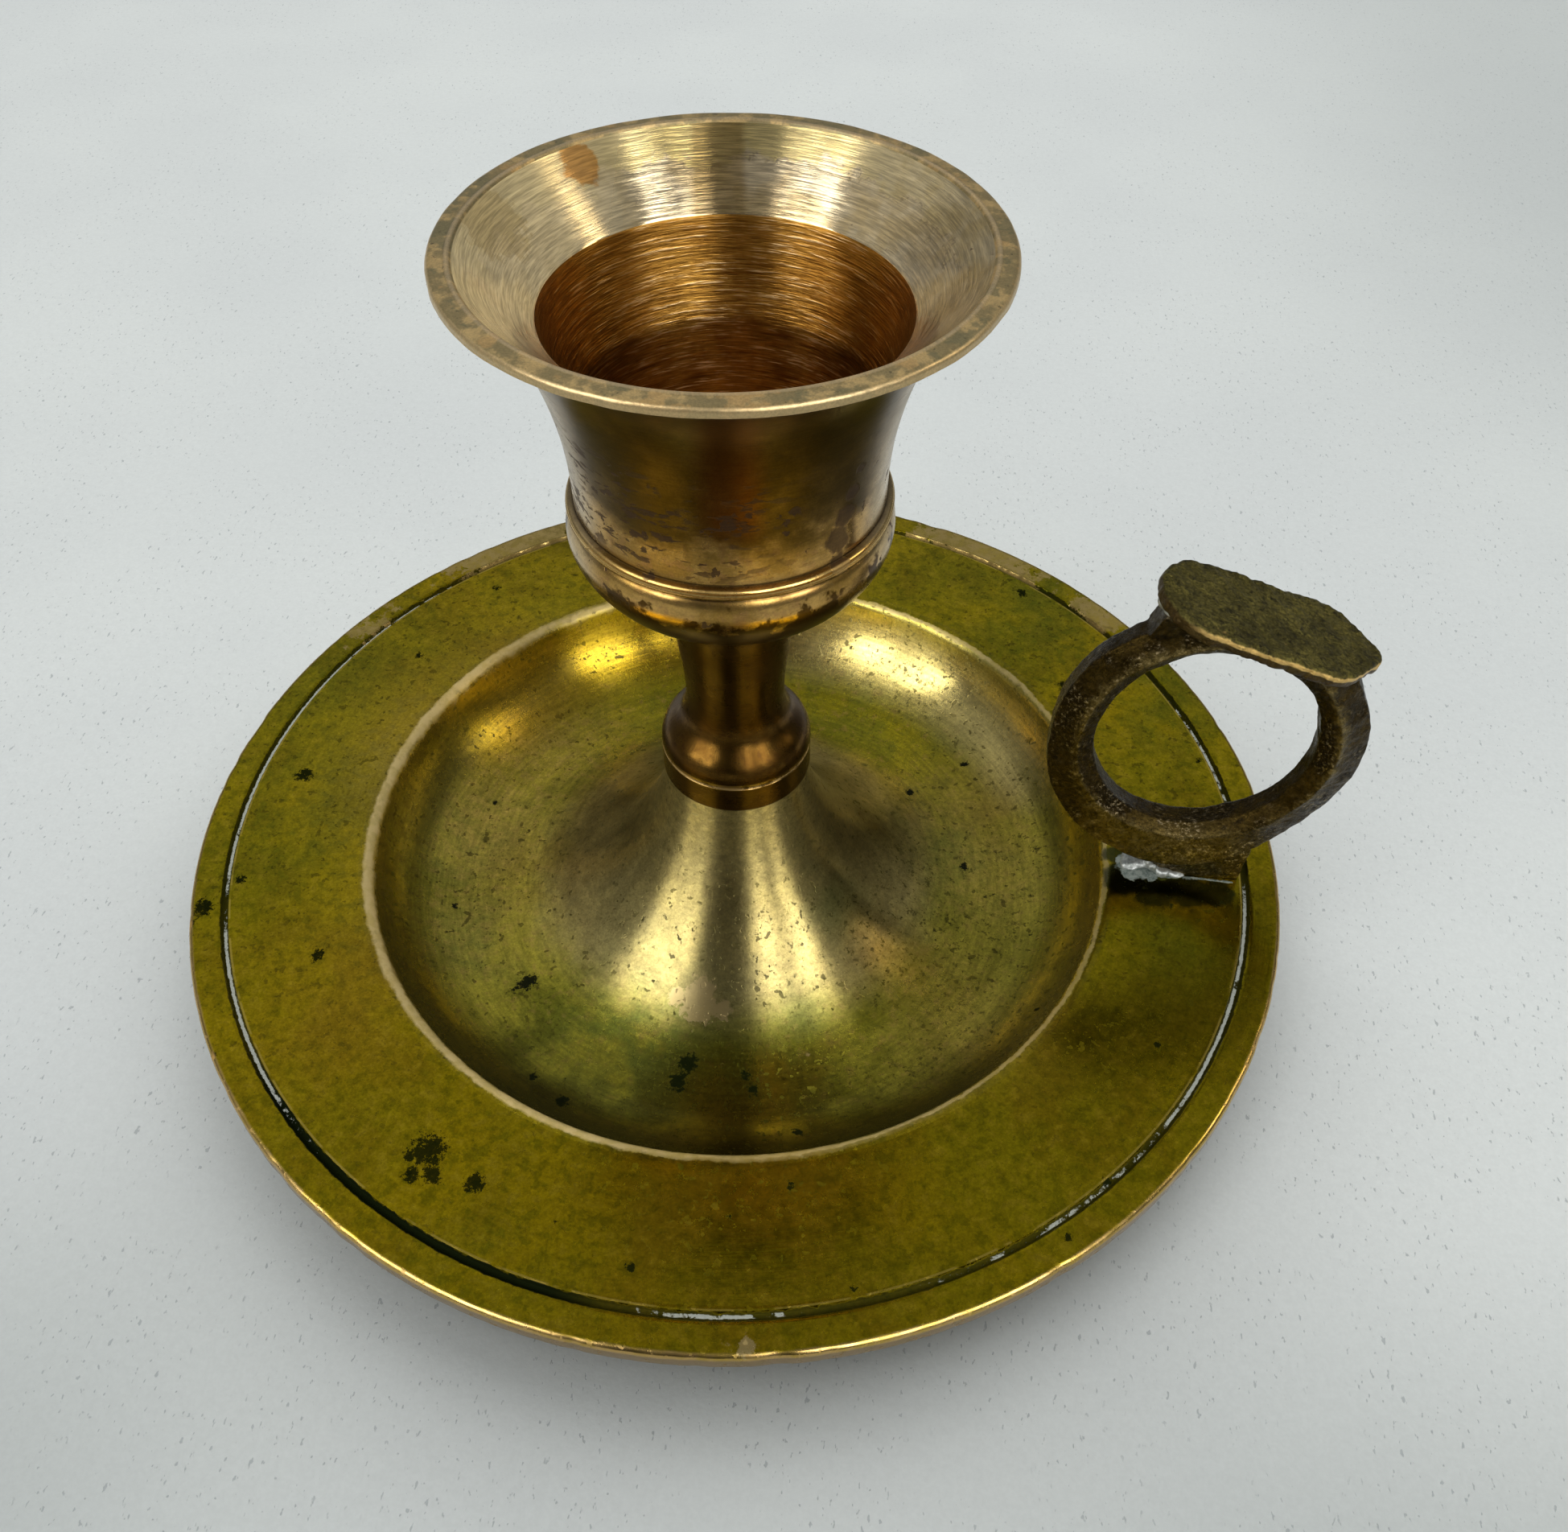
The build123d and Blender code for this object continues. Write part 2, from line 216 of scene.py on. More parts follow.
def pan_wear(r, z, a):
    """Small dents and rubbed places along the edge, and a faint waviness of the flange."""
    near_edge = np.clip((r - (PAN_R - 1.2)) / 1.2, 0, 1)
    dents = np.clip(wave(a, 5, (7, 11, 17, 29, 43, 67, 101)) - 0.35, 0, 2) * 0.10
    fine = np.clip(wave(a, 6, (89, 131, 171)) - 0.2, 0, 2) * 0.035
    top = (z > FLANGE_TOP - 0.6) & (r > 35)
    r = r - near_edge * (dents + fine)
    z = z - np.where(top, near_edge**2 * dents * 0.6, 0)
    flat = np.clip((r - 35) / 2, 0, 1) * np.clip((PAN_R + 0.5 - r) / 1.5, 0, 1) * (z > FLANGE_TOP - 1)
    z = z - flat * 0.03 * (1 + wave(a, 7, (2, 3, 5)) * np.sin(r * 0.45))
    on_lip = np.exp(-((r - 34.6) / 0.7) ** 2) * (z > 9)
    z = z - on_lip * 0.05 * (1 + wave(a, 8, (5, 9, 14, 23)))
    return r, z


drip_pan = lathe("drip_pan_turned", [cone + wall[1:] + lip[1:], flange[1:] + groove + rim_band + edge, under],
                 720, pan_wear, closed=True)

# ---- candle cup -----------------------------------------------------------------------------------
BEAD_LOW, BEAD_HIGH = 47.7, 48.7
BORE_R, BORE_FLOOR = 10.8, 44.5
SOCKET_R = 3.0
# down the double bead: radius, and height from its upper edge
BEAD_SECTION = [(11.72, 0.03), (11.8, -0.02), (12.0, -0.04), (12.16, -0.12), (12.22, -0.22), (12.12, -0.27),
                (12.13, -0.31), (12.27, -0.37), (12.3, -0.46), (12.2, -0.53), (12.2, -0.57), (12.3, -0.63),
                (12.27, -0.76), (12.1, -0.9), (11.95, -0.97)]
outside = (
    curve([(RIM_R, RIM_TOP - 0.75), (14.9, 63.5), (13.0, 58.9), (11.95, 53.7), (11.7, BEAD_HIGH + 0.12)],
          (-1, -0.45), (0, -1), 80)
    + [(radius, BEAD_HIGH + up) for radius, up in BEAD_SECTION]
    + [(11.93, BEAD_LOW - 0.02)]
    + curve([(11.97, BEAD_LOW - 0.08), (12.45, 46.4), (11.4, 43.2), (9.0, 40.9), (6.0, STEM_TOP)],
            (0.9, -1), (-1, -1.1), 70)
)
socket_hole = [(SOCKET_R, STEM_TOP), (SOCKET_R, SPIGOT_TOP), (0, SPIGOT_TOP)]
bore = ([(0, BORE_FLOOR)] + run((0.6, BORE_FLOOR), (10.5, BORE_FLOOR), 12)
        + [(10.66, 44.54), (10.76, 44.64), (BORE_R, 44.8)]
        + run((BORE_R, 45.1), (BORE_R, 56.0), 16) + run((BORE_R, 56.0), (12.70, 63.1), 20) + [(12.73, 63.22)])
mouth = [(12.78, 63.32), (12.86, 63.42)] + run((12.95, 63.5), (17.5, 67.97), 30)
rim = [(17.5, 67.97), (17.6, 68.08), (17.68, 68.17), (17.78, 68.2), (17.9, 68.18), (17.98, 68.12),
       (18.06, 68.1), (18.3, 68.1), (18.6, 68.11), (18.85, 68.1), (19.02, 68.05), (19.13, 67.95),
       (19.19, 67.82), (19.2, 67.7), (19.17, 67.55)]


def cup_wear(r, z, a):
    """Knocks round the thin rim."""
    at_rim = np.clip((r - 17.9) / 1.3, 0, 1) * (z > 66)
    knocks = np.clip(wave(a, 21, (5, 8, 13, 21, 34)) + 0.1, 0, 2) * 0.04
    fine = (1 + wave(a, 22, (55, 89, 123))) * 0.009
    r = r - at_rim * (knocks + fine)
    z = z - np.clip((r - 18.3) / 0.9, 0, 1) * (z > 67) * (0.03 + 0.03 * wave(a, 23, (4, 7, 11, 19)))
    return r, z


candle_cup = lathe("candle_cup_turned", [bore, mouth, rim, outside + socket_hole], 720, cup_wear)

# ---- baluster stem --------------------------------------------------------------------------------
KNOP_R = 6.55
SCREW_R, SCREW_DEPTH = 2.0, 11
stem_line = (
    [(0, SPIGOT_TOP), (SOCKET_R, SPIGOT_TOP), (SOCKET_R, STEM_TOP)]
    + curve([(6.0, STEM_TOP), (4.75, 34.0), (4.2, 28.3), (4.85, 25.0), (6.1, 23.6), (KNOP_R, 22.0)],
            (-1, -1.6), (0, -1), 110)
    + [(6.56, 21.93), (6.5, 21.86), (6.46, 21.76), (6.5, 21.66), (KNOP_R, 21.6)]
    + run((KNOP_R, 21.5), (KNOP_R, STEM_FOOT + 0.3), 14)
    + arc((6.35, STEM_FOOT + 0.2), 0.2, 0, -90, 5)
    + [(SCREW_R, STEM_FOOT), (SCREW_R, STEM_FOOT + SCREW_DEPTH), (0, STEM_FOOT + SCREW_DEPTH)]
)


def stem_wear(r, z, a):
    """Wear in places along the line above the knop's foot."""
    lobes = np.clip(wave(a, 31, (6, 9, 15)) * 0.5, 0, 1)
    return r - (np.abs(z - 21.95) < 0.12) * lobes * 0.04, z


baluster_stem = lathe("baluster_stem_turned", [stem_line], 360, stem_wear)

# ---- finger ring ----------------------------------------------------------------------------------
RING_X, RING_Z = (ring_low[0] + ring_high[0]) / 2, 26.7
HOLE_A, HOLE_B = 9.0, 10.1
RING_STEPS = 260
TILT = math.radians(17.5)
PLATE_X, PLATE_TOP_Z, PLATE_THICK = 42.1, 40.0, 1.2


def seat(x):
    """The height of the plate's underside on the ring's middle plane."""
    return PLATE_TOP_Z - PLATE_THICK / math.cos(TILT) - math.tan(TILT) * (x - PLATE_X)


def rounded(corners, cut, steps):
    """A closed outline with its corners cut round."""
    out = []
    corners = [np.array(c, float) for c in corners]
    for i, c in enumerate(corners):
        to_a, to_b = corners[i - 1] - c, corners[(i + 1) % len(corners)] - c
        a = c + to_a / np.linalg.norm(to_a) * cut
        b = c + to_b / np.linalg.norm(to_b) * cut
        for s in np.linspace(0, 1, steps):
            out.append(tuple((1 - s) ** 2 * a + 2 * s * (1 - s) * c + s**2 * b))
    return out


def bevelled(inner, ridge, outer):
    """The ring's section from three corners on one side, each (distance from the hole, half width)."""
    side = [inner, ridge, outer]
    corners = [(d, -y) for d, y in side] + [(d, y) for d, y in reversed(side)]
    return np.array(rounded(corners, 0.12, 3))


slim = bevelled((0, 0.95), (1.5, 2.1), (3.8, 0.9))
heavy = bevelled((0, 0.95), (1.1, 1.95), (4.75, 2.15))


def ring_point(t, d):
    """A point d outside the hole's edge, at ellipse angle t."""
    n = np.array([math.cos(t) / HOLE_A, math.sin(t) / HOLE_B])
    n /= np.linalg.norm(n)
    return RING_X + HOLE_A * math.cos(t) + n[0] * d, RING_Z + HOLE_B * math.sin(t) + n[1] * d


verts = []
for i in range(RING_STEPS):
    t = 2 * math.pi * i / RING_STEPS
    thick = 1 + 0.035 * math.sin(2 * t + 0.7) + 0.03 * math.sin(5 * t + 2.0)
    wide = 0.965 + 0.035 * math.sin(3 * t + 1.0)
    low = max(0.0, -math.sin(t + 0.12)) ** 2.4
    for d, y in slim + (heavy - slim) * low:
        x, z = ring_point(t, d * thick)
        verts.append((x, y * wide, z))
faces = quads(RING_STEPS, len(slim), closed=True)


def close_shell(start, n):
    """Adds the faces of a shell between two loops of n vertices each, the first of them at start."""
    faces.append(list(range(start, start + n)))
    faces.append(list(range(start + 2 * n - 1, start + n - 1, -1)))
    for i in range(n):
        k = (i + 1) % n
        faces.append([start + i, start + n + i, start + n + k, start + k])


def prism(outline, half):
    """Adds an upright slab with this XZ outline to the ring's shells."""
    start = len(verts)
    for y in (-half, half):
        verts.extend((x, y, z) for x, z in outline)
    close_shell(start, len(outline))


def drum(x, low, high, radius, sides=40):
    """Adds an upright cylinder to the ring's shells."""
    start = len(verts)
    for z in (low, high):
        for i in range(sides):
            t = 2 * math.pi * i / sides
            verts.append((x + radius * math.cos(t), radius * math.sin(t), z))
    close_shell(start, sides)


PEG_X = 43.0
prism([(38.9, FLANGE_TOP - 0.1), (46.3, FLANGE_TOP - 0.1), (46.4, 12.4), (46.6, 16.6), (44.0, 16.4),
       (37.5, 15.6), (35.6, 14.5), (37.4, 12.6)], 1.25)
prism([(32.8, 38.2), (34.3, seat(34.3) + 0.6), (39.6, seat(39.6) + 0.6), (39.6, 37.7)], 1.35)
drum(PEG_X, FLANGE_UNDER - 0.6, FLANGE_UNDER, 1.9)
drum(PEG_X, FLANGE_UNDER - 0.3, FLANGE_TOP + 1.0, 1.2)
finger_ring = new_object("finger_ring_cast", verts, faces)


def remesh(obj, size, relax):
    """One closed skin over an object's overlapping shells, slightly softened."""
    skin = obj.modifiers.new("skin", "REMESH")
    skin.mode = "VOXEL"
    skin.voxel_size = size * MM
    soft = obj.modifiers.new("soft", "SMOOTH")
    soft.factor = 0.5
    soft.iterations = relax
    done = bpy.data.meshes.new_from_object(obj.evaluated_get(bpy.context.evaluated_depsgraph_get()))
    obj.modifiers.clear()
    obj.data = done
    obj.data.shade_smooth()


def roughen(obj, waves, seed, sink=0.0):
    """Moves each vertex along its normal by layered noise, less sink. waves: [(size, height), ...]."""
    mesh = obj.data
    shift = Vector((seed * 7.3, seed * 3.1, seed * 5.7))
    normals = [v.normal.copy() for v in mesh.vertices]
    for v, n in zip(mesh.vertices, normals):
        p = v.co / MM
        v.co += n * MM * (sum(noise.noise(p / size + shift) * height for size, height in waves) - sink)
    mesh.update()


def slice_top(obj, point, normal):
    """Cuts away what is above a plane and closes the cut."""
    bm = bmesh.new()
    bm.from_mesh(obj.data)
    geom = bm.verts[:] + bm.edges[:] + bm.faces[:]
    cut = bmesh.ops.bisect_plane(bm, geom=geom, plane_co=point, plane_no=normal, clear_outer=True)
    rim_edges = [e for e in cut["geom_cut"] if isinstance(e, bmesh.types.BMEdge)]
    bmesh.ops.edgeloop_fill(bm, edges=rim_edges)
    bmesh.ops.recalc_face_normals(bm, faces=bm.faces)
    bm.to_mesh(obj.data)
    bm.free()


remesh(finger_ring, 0.12, 2)
roughen(finger_ring, [(3.0, 0.14), (1.1, 0.07), (0.45, 0.03)], 1, 0.06)
for v in finger_ring.data.vertices:
    v.co.x = min(v.co.x, ring_high[0] * MM)
slice_top(finger_ring, Vector((PLATE_X, 0, seat(PLATE_X))) * MM, Vector((math.sin(TILT), 0, math.cos(TILT))))
finger_ring.data.shade_smooth()

# ---- thumb plate ----------------------------------------------------------------------------------
PLATE_ROUNDS = ((-5.1, 4.4), (4.0, 4.5), (8.0, 1.5))
SPINE = (-5.1, 7.6)
OUTLINE_STEPS = 240
OUTLINE_GAP = 0.16
# round the plate's edge, from its underside up: depth from the top face, and how far inside the outline
PLATE_EDGE = [(-1.2, 0.30), (-1.12, 0.12), (-0.95, 0.02), (-0.6, 0.0), (-0.3, 0.03), (-0.13, 0.10),
              (-0.03, 0.24), (0.0, 0.42)]
TOP_INSET = PLATE_EDGE[-1][1]


def plate_outline():
    """The plate's outline round three discs on its long axis, in short steps."""
    corners = []
    for i in range(OUTLINE_STEPS):
        t = 2 * math.pi * i / OUTLINE_STEPS
        u = np.array([math.cos(t), math.sin(t)])
        x, radius = max(PLATE_ROUNDS, key=lambda c: c[0] * u[0] + c[1])
        corners.append(u * radius + np.array([x, 0]))
    points = []
    for i, p in enumerate(corners):
        q = corners[(i + 1) % OUTLINE_STEPS]
        steps = max(1, int(np.linalg.norm(q - p) / OUTLINE_GAP))
        points += [p + (q - p) * s / steps for s in range(steps)]
    return points


def bitten(p):
    """An outline point as its nearest point on the spine and a worn offset from there."""
    s = np.array([min(max(p[0], SPINE[0]), SPINE[1]), 0.0])
    bite = (noise.noise(Vector((p[0] * 0.45, p[1] * 0.45, 3.0))) * 0.5
            + noise.noise(Vector((p[0] * 1.6, p[1] * 1.6, 9.0))) * 0.2)
    d = p - s
    return s, d * (1 - max(0.0, bite) * 0.5 / max(np.linalg.norm(d), 0.5))


worn_outline = [bitten(p) for p in plate_outline()]
rows = [(share, -PLATE_THICK, None) for share in np.linspace(0.0, 0.9, 8)]
rows += [(1.0, depth, inset) for depth, inset in PLATE_EDGE]
rows += [(share, 0.0, None) for share in np.linspace(0.9, 0.0, 24)]
verts = []
n = len(worn_outline)
for share, depth, inset in rows:
    for s, d in worn_outline:
        reach = max(np.linalg.norm(d), 1e-6)
        k = (reach - inset) / reach if inset is not None else share * (reach - TOP_INSET) / reach
        p = s + d * k
        verts.append((PLATE_X + p[0] * math.cos(TILT) + depth * math.sin(TILT), p[1],
                      PLATE_TOP_Z - p[0] * math.sin(TILT) + depth * math.cos(TILT)))
faces = quads(len(rows), n)
faces.append(list(range(n)))
faces.append([(len(rows) - 1) * n + j for j in reversed(range(n))])
thumb_plate = new_object("thumb_plate_cast", verts, faces, sharp=60)
remesh(thumb_plate, 0.11, 3)
roughen(thumb_plate, [(3.2, 0.08), (0.9, 0.10), (0.4, 0.07)], 2)


# ---- solder ---------------------------------------------------------------------------------------
def blobs(name, drops, seed):
    """Soft solder run together from drops: [(x, y, z, rx, ry, rz), ...]."""
    bm = bmesh.new()
    for x, y, z, rx, ry, rz in drops:
        made = bmesh.ops.create_icosphere(bm, subdivisions=3, radius=1.0)
        for v in made["verts"]:
            v.co = Vector((v.co.x * rx + x, v.co.y * ry + y, v.co.z * rz + z)) * MM
    obj = add_solid(name, bm)
    remesh(obj, 0.1, 8)
    roughen(obj, [(0.9, 0.16), (0.35, 0.06)], seed)
    obj.data.shade_smooth()
    return obj


plate_solder = blobs("thumb_plate_solder_run", [
    (33.9, 0, seat(33.9) - 0.45, 0.7, 1.35, 0.6), (34.1, -0.9, seat(34.1) - 0.5, 0.6, 0.7, 0.55),
    (33.6, 0.5, seat(33.6) - 0.9, 0.5, 0.7, 0.6),
    (48.9, 0, seat(48.9) - 0.45, 0.9, 1.3, 0.5), (49.3, 0.3, seat(49.3) - 0.35, 0.7, 0.9, 0.4)], 3)
foot_solder = blobs("ring_foot_solder_run", [
    (37.4, 0, FLANGE_TOP + 0.15, 1.7, 1.15, 0.5), (36.4, -0.5, FLANGE_TOP + 0.05, 0.9, 0.9, 0.32),
    (38.5, -0.4, FLANGE_TOP + 0.45, 0.8, 1.1, 0.7), (37.2, 0.8, FLANGE_TOP + 0.05, 0.9, 0.6, 0.35),
    (39.4, -1.25, FLANGE_TOP + 0.2, 0.9, 0.6, 0.45), (40.6, -1.4, FLANGE_TOP + 0.05, 0.9, 0.45, 0.28)], 4)

# ---- marks on the pan: stains, pale film, copper tone, painted reflections, painted shade and shadow ---
# (x, y, radius)
DARK_SPOTS = [
    (-19.6, -36.4, 1.5), (-20.2, -38.6, 0.8), (-18.7, -38.4, 0.9), (-15.2, -38.6, 0.9), (-20.9, -37, 0.6),
    (9, -36, 0.4), (4.7, -39, 0.3), (-42.6, 0.8, 0.9), (-46.1, -15.8, 1), (-34.3, -19.6, 0.6),
    (21.8, 3.4, 0.5), (24.6, 0, 0.7), (38, -19.8, 0.35), (40, -5.1, 0.3), (-17.6, -15.1, 0.9),
    (-18.4, -15.8, 0.5), (3.6, -22.4, 0.5), (4.4, -23.6, 0.5), (-1.6, -21.8, 1), (-2.2, -23.6, 0.9),
    (-26.6, -7.6, 0.4), (16, 12.2, 0.5), (-36.4, 18.6, 0.5), (-26, 5.8, 0.3), (28.6, -14.4, 0.3),
    (-39.5, -30.2, 0.4), (-44, -12.4, 0.5), (-46.6, -17.6, 0.6), (-30.4, -40.8, 0.5), (-33.6, -37.6, 0.4),
    (-8.4, -41, 0.3), (-2, -43.8, 0.4), (33.4, -32.6, 0.4), (30.4, -37.6, 0.4), (21.4, 17, 0.4),
    (30.6, 22.4, 0.5), (43.8, 13.4, 0.4), (-14, 40.2, 0.6), (10, 43, 0.5), (26.4, 36.4, 0.6),
    (-31, 30, 0.5), (14.6, -43.4, 0.3), (-11.6, -27.4, 0.7), (-14.6, -25.2, 0.5), (8.8, -27.6, 0.5),
]
# (x, y, radius, strength)
MARKS = {
    "stain": [(x, y, radius, 1) for x, y, radius in DARK_SPOTS],
    "green": [
        (-40, -5, 9, 0.5), (-27, 0.5, 5, 0.9), (-23, -11, 5, 0.7), (-6, -24, 8, 1),
        (4, -25.5, 6, 0.9), (22, 6, 6, 0.6), (40, 22, 9, 0.6), (28, 34, 10, 0.7),
        (41, -8, 5, 0.5), (-44, 14, 8, 0.5), (-8, 12, 5, 0.5), (13, 7, 4, 0.6),
        (-13, -46, 5, 0.4), (10, -6.5, 2.5, 0.6), (8, -16.5, 2.6, 0.5)],
    # copper tone, and painted orange reflections at (-25.5, 17.5) and (13.2, -8.6)
    "copper_and_glints": [
        (-25.5, 17.5, 4, 0.6), (13.2, -8.6, 1.8, 0.5), (-22, -1.5, 4, 0.5), (2, -30, 7, 0.2),
        (25, 10.5, 4, 0.45), (-19, -6, 4, 0.4), (-32, 13, 6, 0.35), (6, -40, 9, 0.2),
        (27, -20, 5, 0.3), (-30, -24, 7, 0.35)],
    # painted shade on the sides of the cone, for the dark the cone reflects there
    "cone_shade": [
        (10, 0.5, 3.6, 1), (12, 5, 4.2, 1), (8, 8.5, 4, 0.9), (15.5, 9, 4, 0.6),
        (-9.5, -1, 3.4, 0.7), (-11.5, 5, 4.4, 0.75), (-8, 9.5, 4, 0.6), (-15, 0, 4, 0.45),
        (27.5, 14, 3, 0.4)],
    "gold": [
        (-27.5, 3.5, 8, 1), (-22.5, 14, 7, 0.8), (-24, -9, 7, 0.6), (24, 3, 6, 0.6),
        (21, 11.5, 5, 0.5), (17.5, -9.5, 5, 0.6), (21.5, -15, 6, 0.5)],
    "film": [
        (-1.4, -16.4, 1.7, 1), (-3.4, -16.2, 0.9, 0.8), (0.9, -16.9, 0.9, 0.8), (7.4, -48.6, 0.8, 0.8),
        (8.8, -19.7, 0.22, 1), (5.8, -48.4, 0.4, 0.6)],
    "flux": [(36.9, -1, 1.6, 0.9), (38.4, -1.6, 0.8, 0.85), (35.9, -0.3, 0.8, 0.8)],
    # painted shadow of the finger ring's foot on the flange, with dark patina
    "ring_shadow_and_patina": [
        (35.8, -2.4, 2, 0.95), (38.8, -3.2, 2.3, 0.95), (41.6, -3.2, 2.2, 0.9), (44.2, -3, 1.9, 0.85),
        (35, 0.4, 1.2, 0.8), (39.5, 2.4, 2, 0.6), (43.5, 2.4, 2, 0.6)],
}
# round the rim: (degrees, half width in degrees, strength)
ARCS = {
    "lime": [(172, 26, 1), (214, 14, 1), (150, 12, 0.7), (-24, 16, 0.9), (-46, 12, 0.6), (18, 12, 0.7),
             (-84, 7, 0.75), (-10, 8, 0.9), (-60, 6, 0.5)],
    "worn": [(128, 12, 1), (152, 6, 0.6), (63, 10, 1), (44, 6, 0.7), (96, 5, 0.5)],
}


def paint(obj, name, strength):
    """Stores one number per vertex for the materials to read."""
    layer = obj.data.attributes.new(name, "FLOAT", "POINT")
    layer.data.foreach_set("value", np.asarray(strength, np.float32))


def positions(obj):
    co = np.empty(len(obj.data.vertices) * 3)
    obj.data.vertices.foreach_get("co", co)
    return co.reshape(-1, 3) / MM


def fade(distance, radius):
    """1 at distance 0, and 0.5 at the radius."""
    return np.exp(-np.log(2) * (distance / radius) ** 2)


def from_angle(angle, middle):
    """How far an angle is from another, in degrees from -180 to 180."""
    return (angle - middle + 180) % 360 - 180


p = positions(drip_pan)
angle = np.degrees(np.arctan2(p[:, 1], p[:, 0]))
upper = p[:, 2] > np.where(np.hypot(p[:, 0], p[:, 1]) > 35.5, FLANGE_TOP - 0.7, 0.4)
for name, marks in MARKS.items():
    strength = np.zeros(len(p))
    for x, y, radius, level in marks:
        strength = np.maximum(strength, level * fade(np.hypot(p[:, 0] - x, p[:, 1] - y), radius))
    if name == "flux":
        beside_foot = fade(p[:, 1] + 1.62, 0.2) * (p[:, 0] > 38.6) * (p[:, 0] < 45.9) * 0.8
        strength = np.maximum(strength, beside_foot)
    paint(drip_pan, name, strength * upper)
for name, arcs in ARCS.items():
    strength = np.zeros(len(p))
    for middle, spread, level in arcs:
        strength = np.maximum(strength, level * fade(from_angle(angle, middle), spread))
    paint(drip_pan, name, strength * upper)
paint(drip_pan, "lip", np.clip((110 - np.abs(from_angle(angle, 205))) / 55, 0, 1) * upper)


# ---- materials ------------------------------------------------------------------------------------
def linear(r, g, b):
    """A linear colour from 8-bit sRGB."""
    return tuple(((c / 255 + 0.055) / 1.055) ** 2.4 if c > 10.3 else c / 3294.6 for c in (r, g, b)) + (1,)


class Nodes:
    """Short ways to add nodes to a tree."""

    def __init__(self, tree):
        self.tree = tree

    def feed(self, socket, value):
        if isinstance(value, bpy.types.NodeSocket):
            self.tree.links.new(value, socket)
        else:
            socket.default_value = value

    def node(self, kind, inputs, **settings):
        """A new node with these settings, and these values or links on its inputs."""
        node = self.tree.nodes.new("ShaderNode" + kind)
        for name, value in settings.items():
            setattr(node, name, value)
        for socket, value in inputs.items():
            self.feed(node.inputs[socket], value)
        return node

    def math(self, kind, a, b=0.0):
        return self.node("Math", {0: a, 1: b}, operation=kind).outputs[0]

    def vector(self, kind, a, b, output=0):
        return self.node("VectorMath", {0: a, 1: b}, operation=kind).outputs[output]

    def fold(self, kind, values):
        """Several values taken together: sockets, numbers, and steps given as the tuple of their values."""
        values = [self.step(*v) if isinstance(v, tuple) else v for v in values]
        total = values[0]
        for v in values[1:]:
            total = self.math(kind, total, v)
        return total

    def plus(self, *values):
        return self.fold("ADD", values)

    def times(self, *values):
        return self.fold("MULTIPLY", values)

    def most(self, *values):
        return self.fold("MAXIMUM", values)

    def step(self, value, low, high, below=0.0, above=1.0):
        """One number below low and another above high, or the other way round where low is the larger."""
        ends = (low, high, below, above) if low < high else (high, low, above, below)
        inputs = dict(zip(("Value", "From Min", "From Max", "To Min", "To Max"), (value, *ends)))
        return self.node("MapRange", inputs, interpolation_type="SMOOTHSTEP").outputs[0]


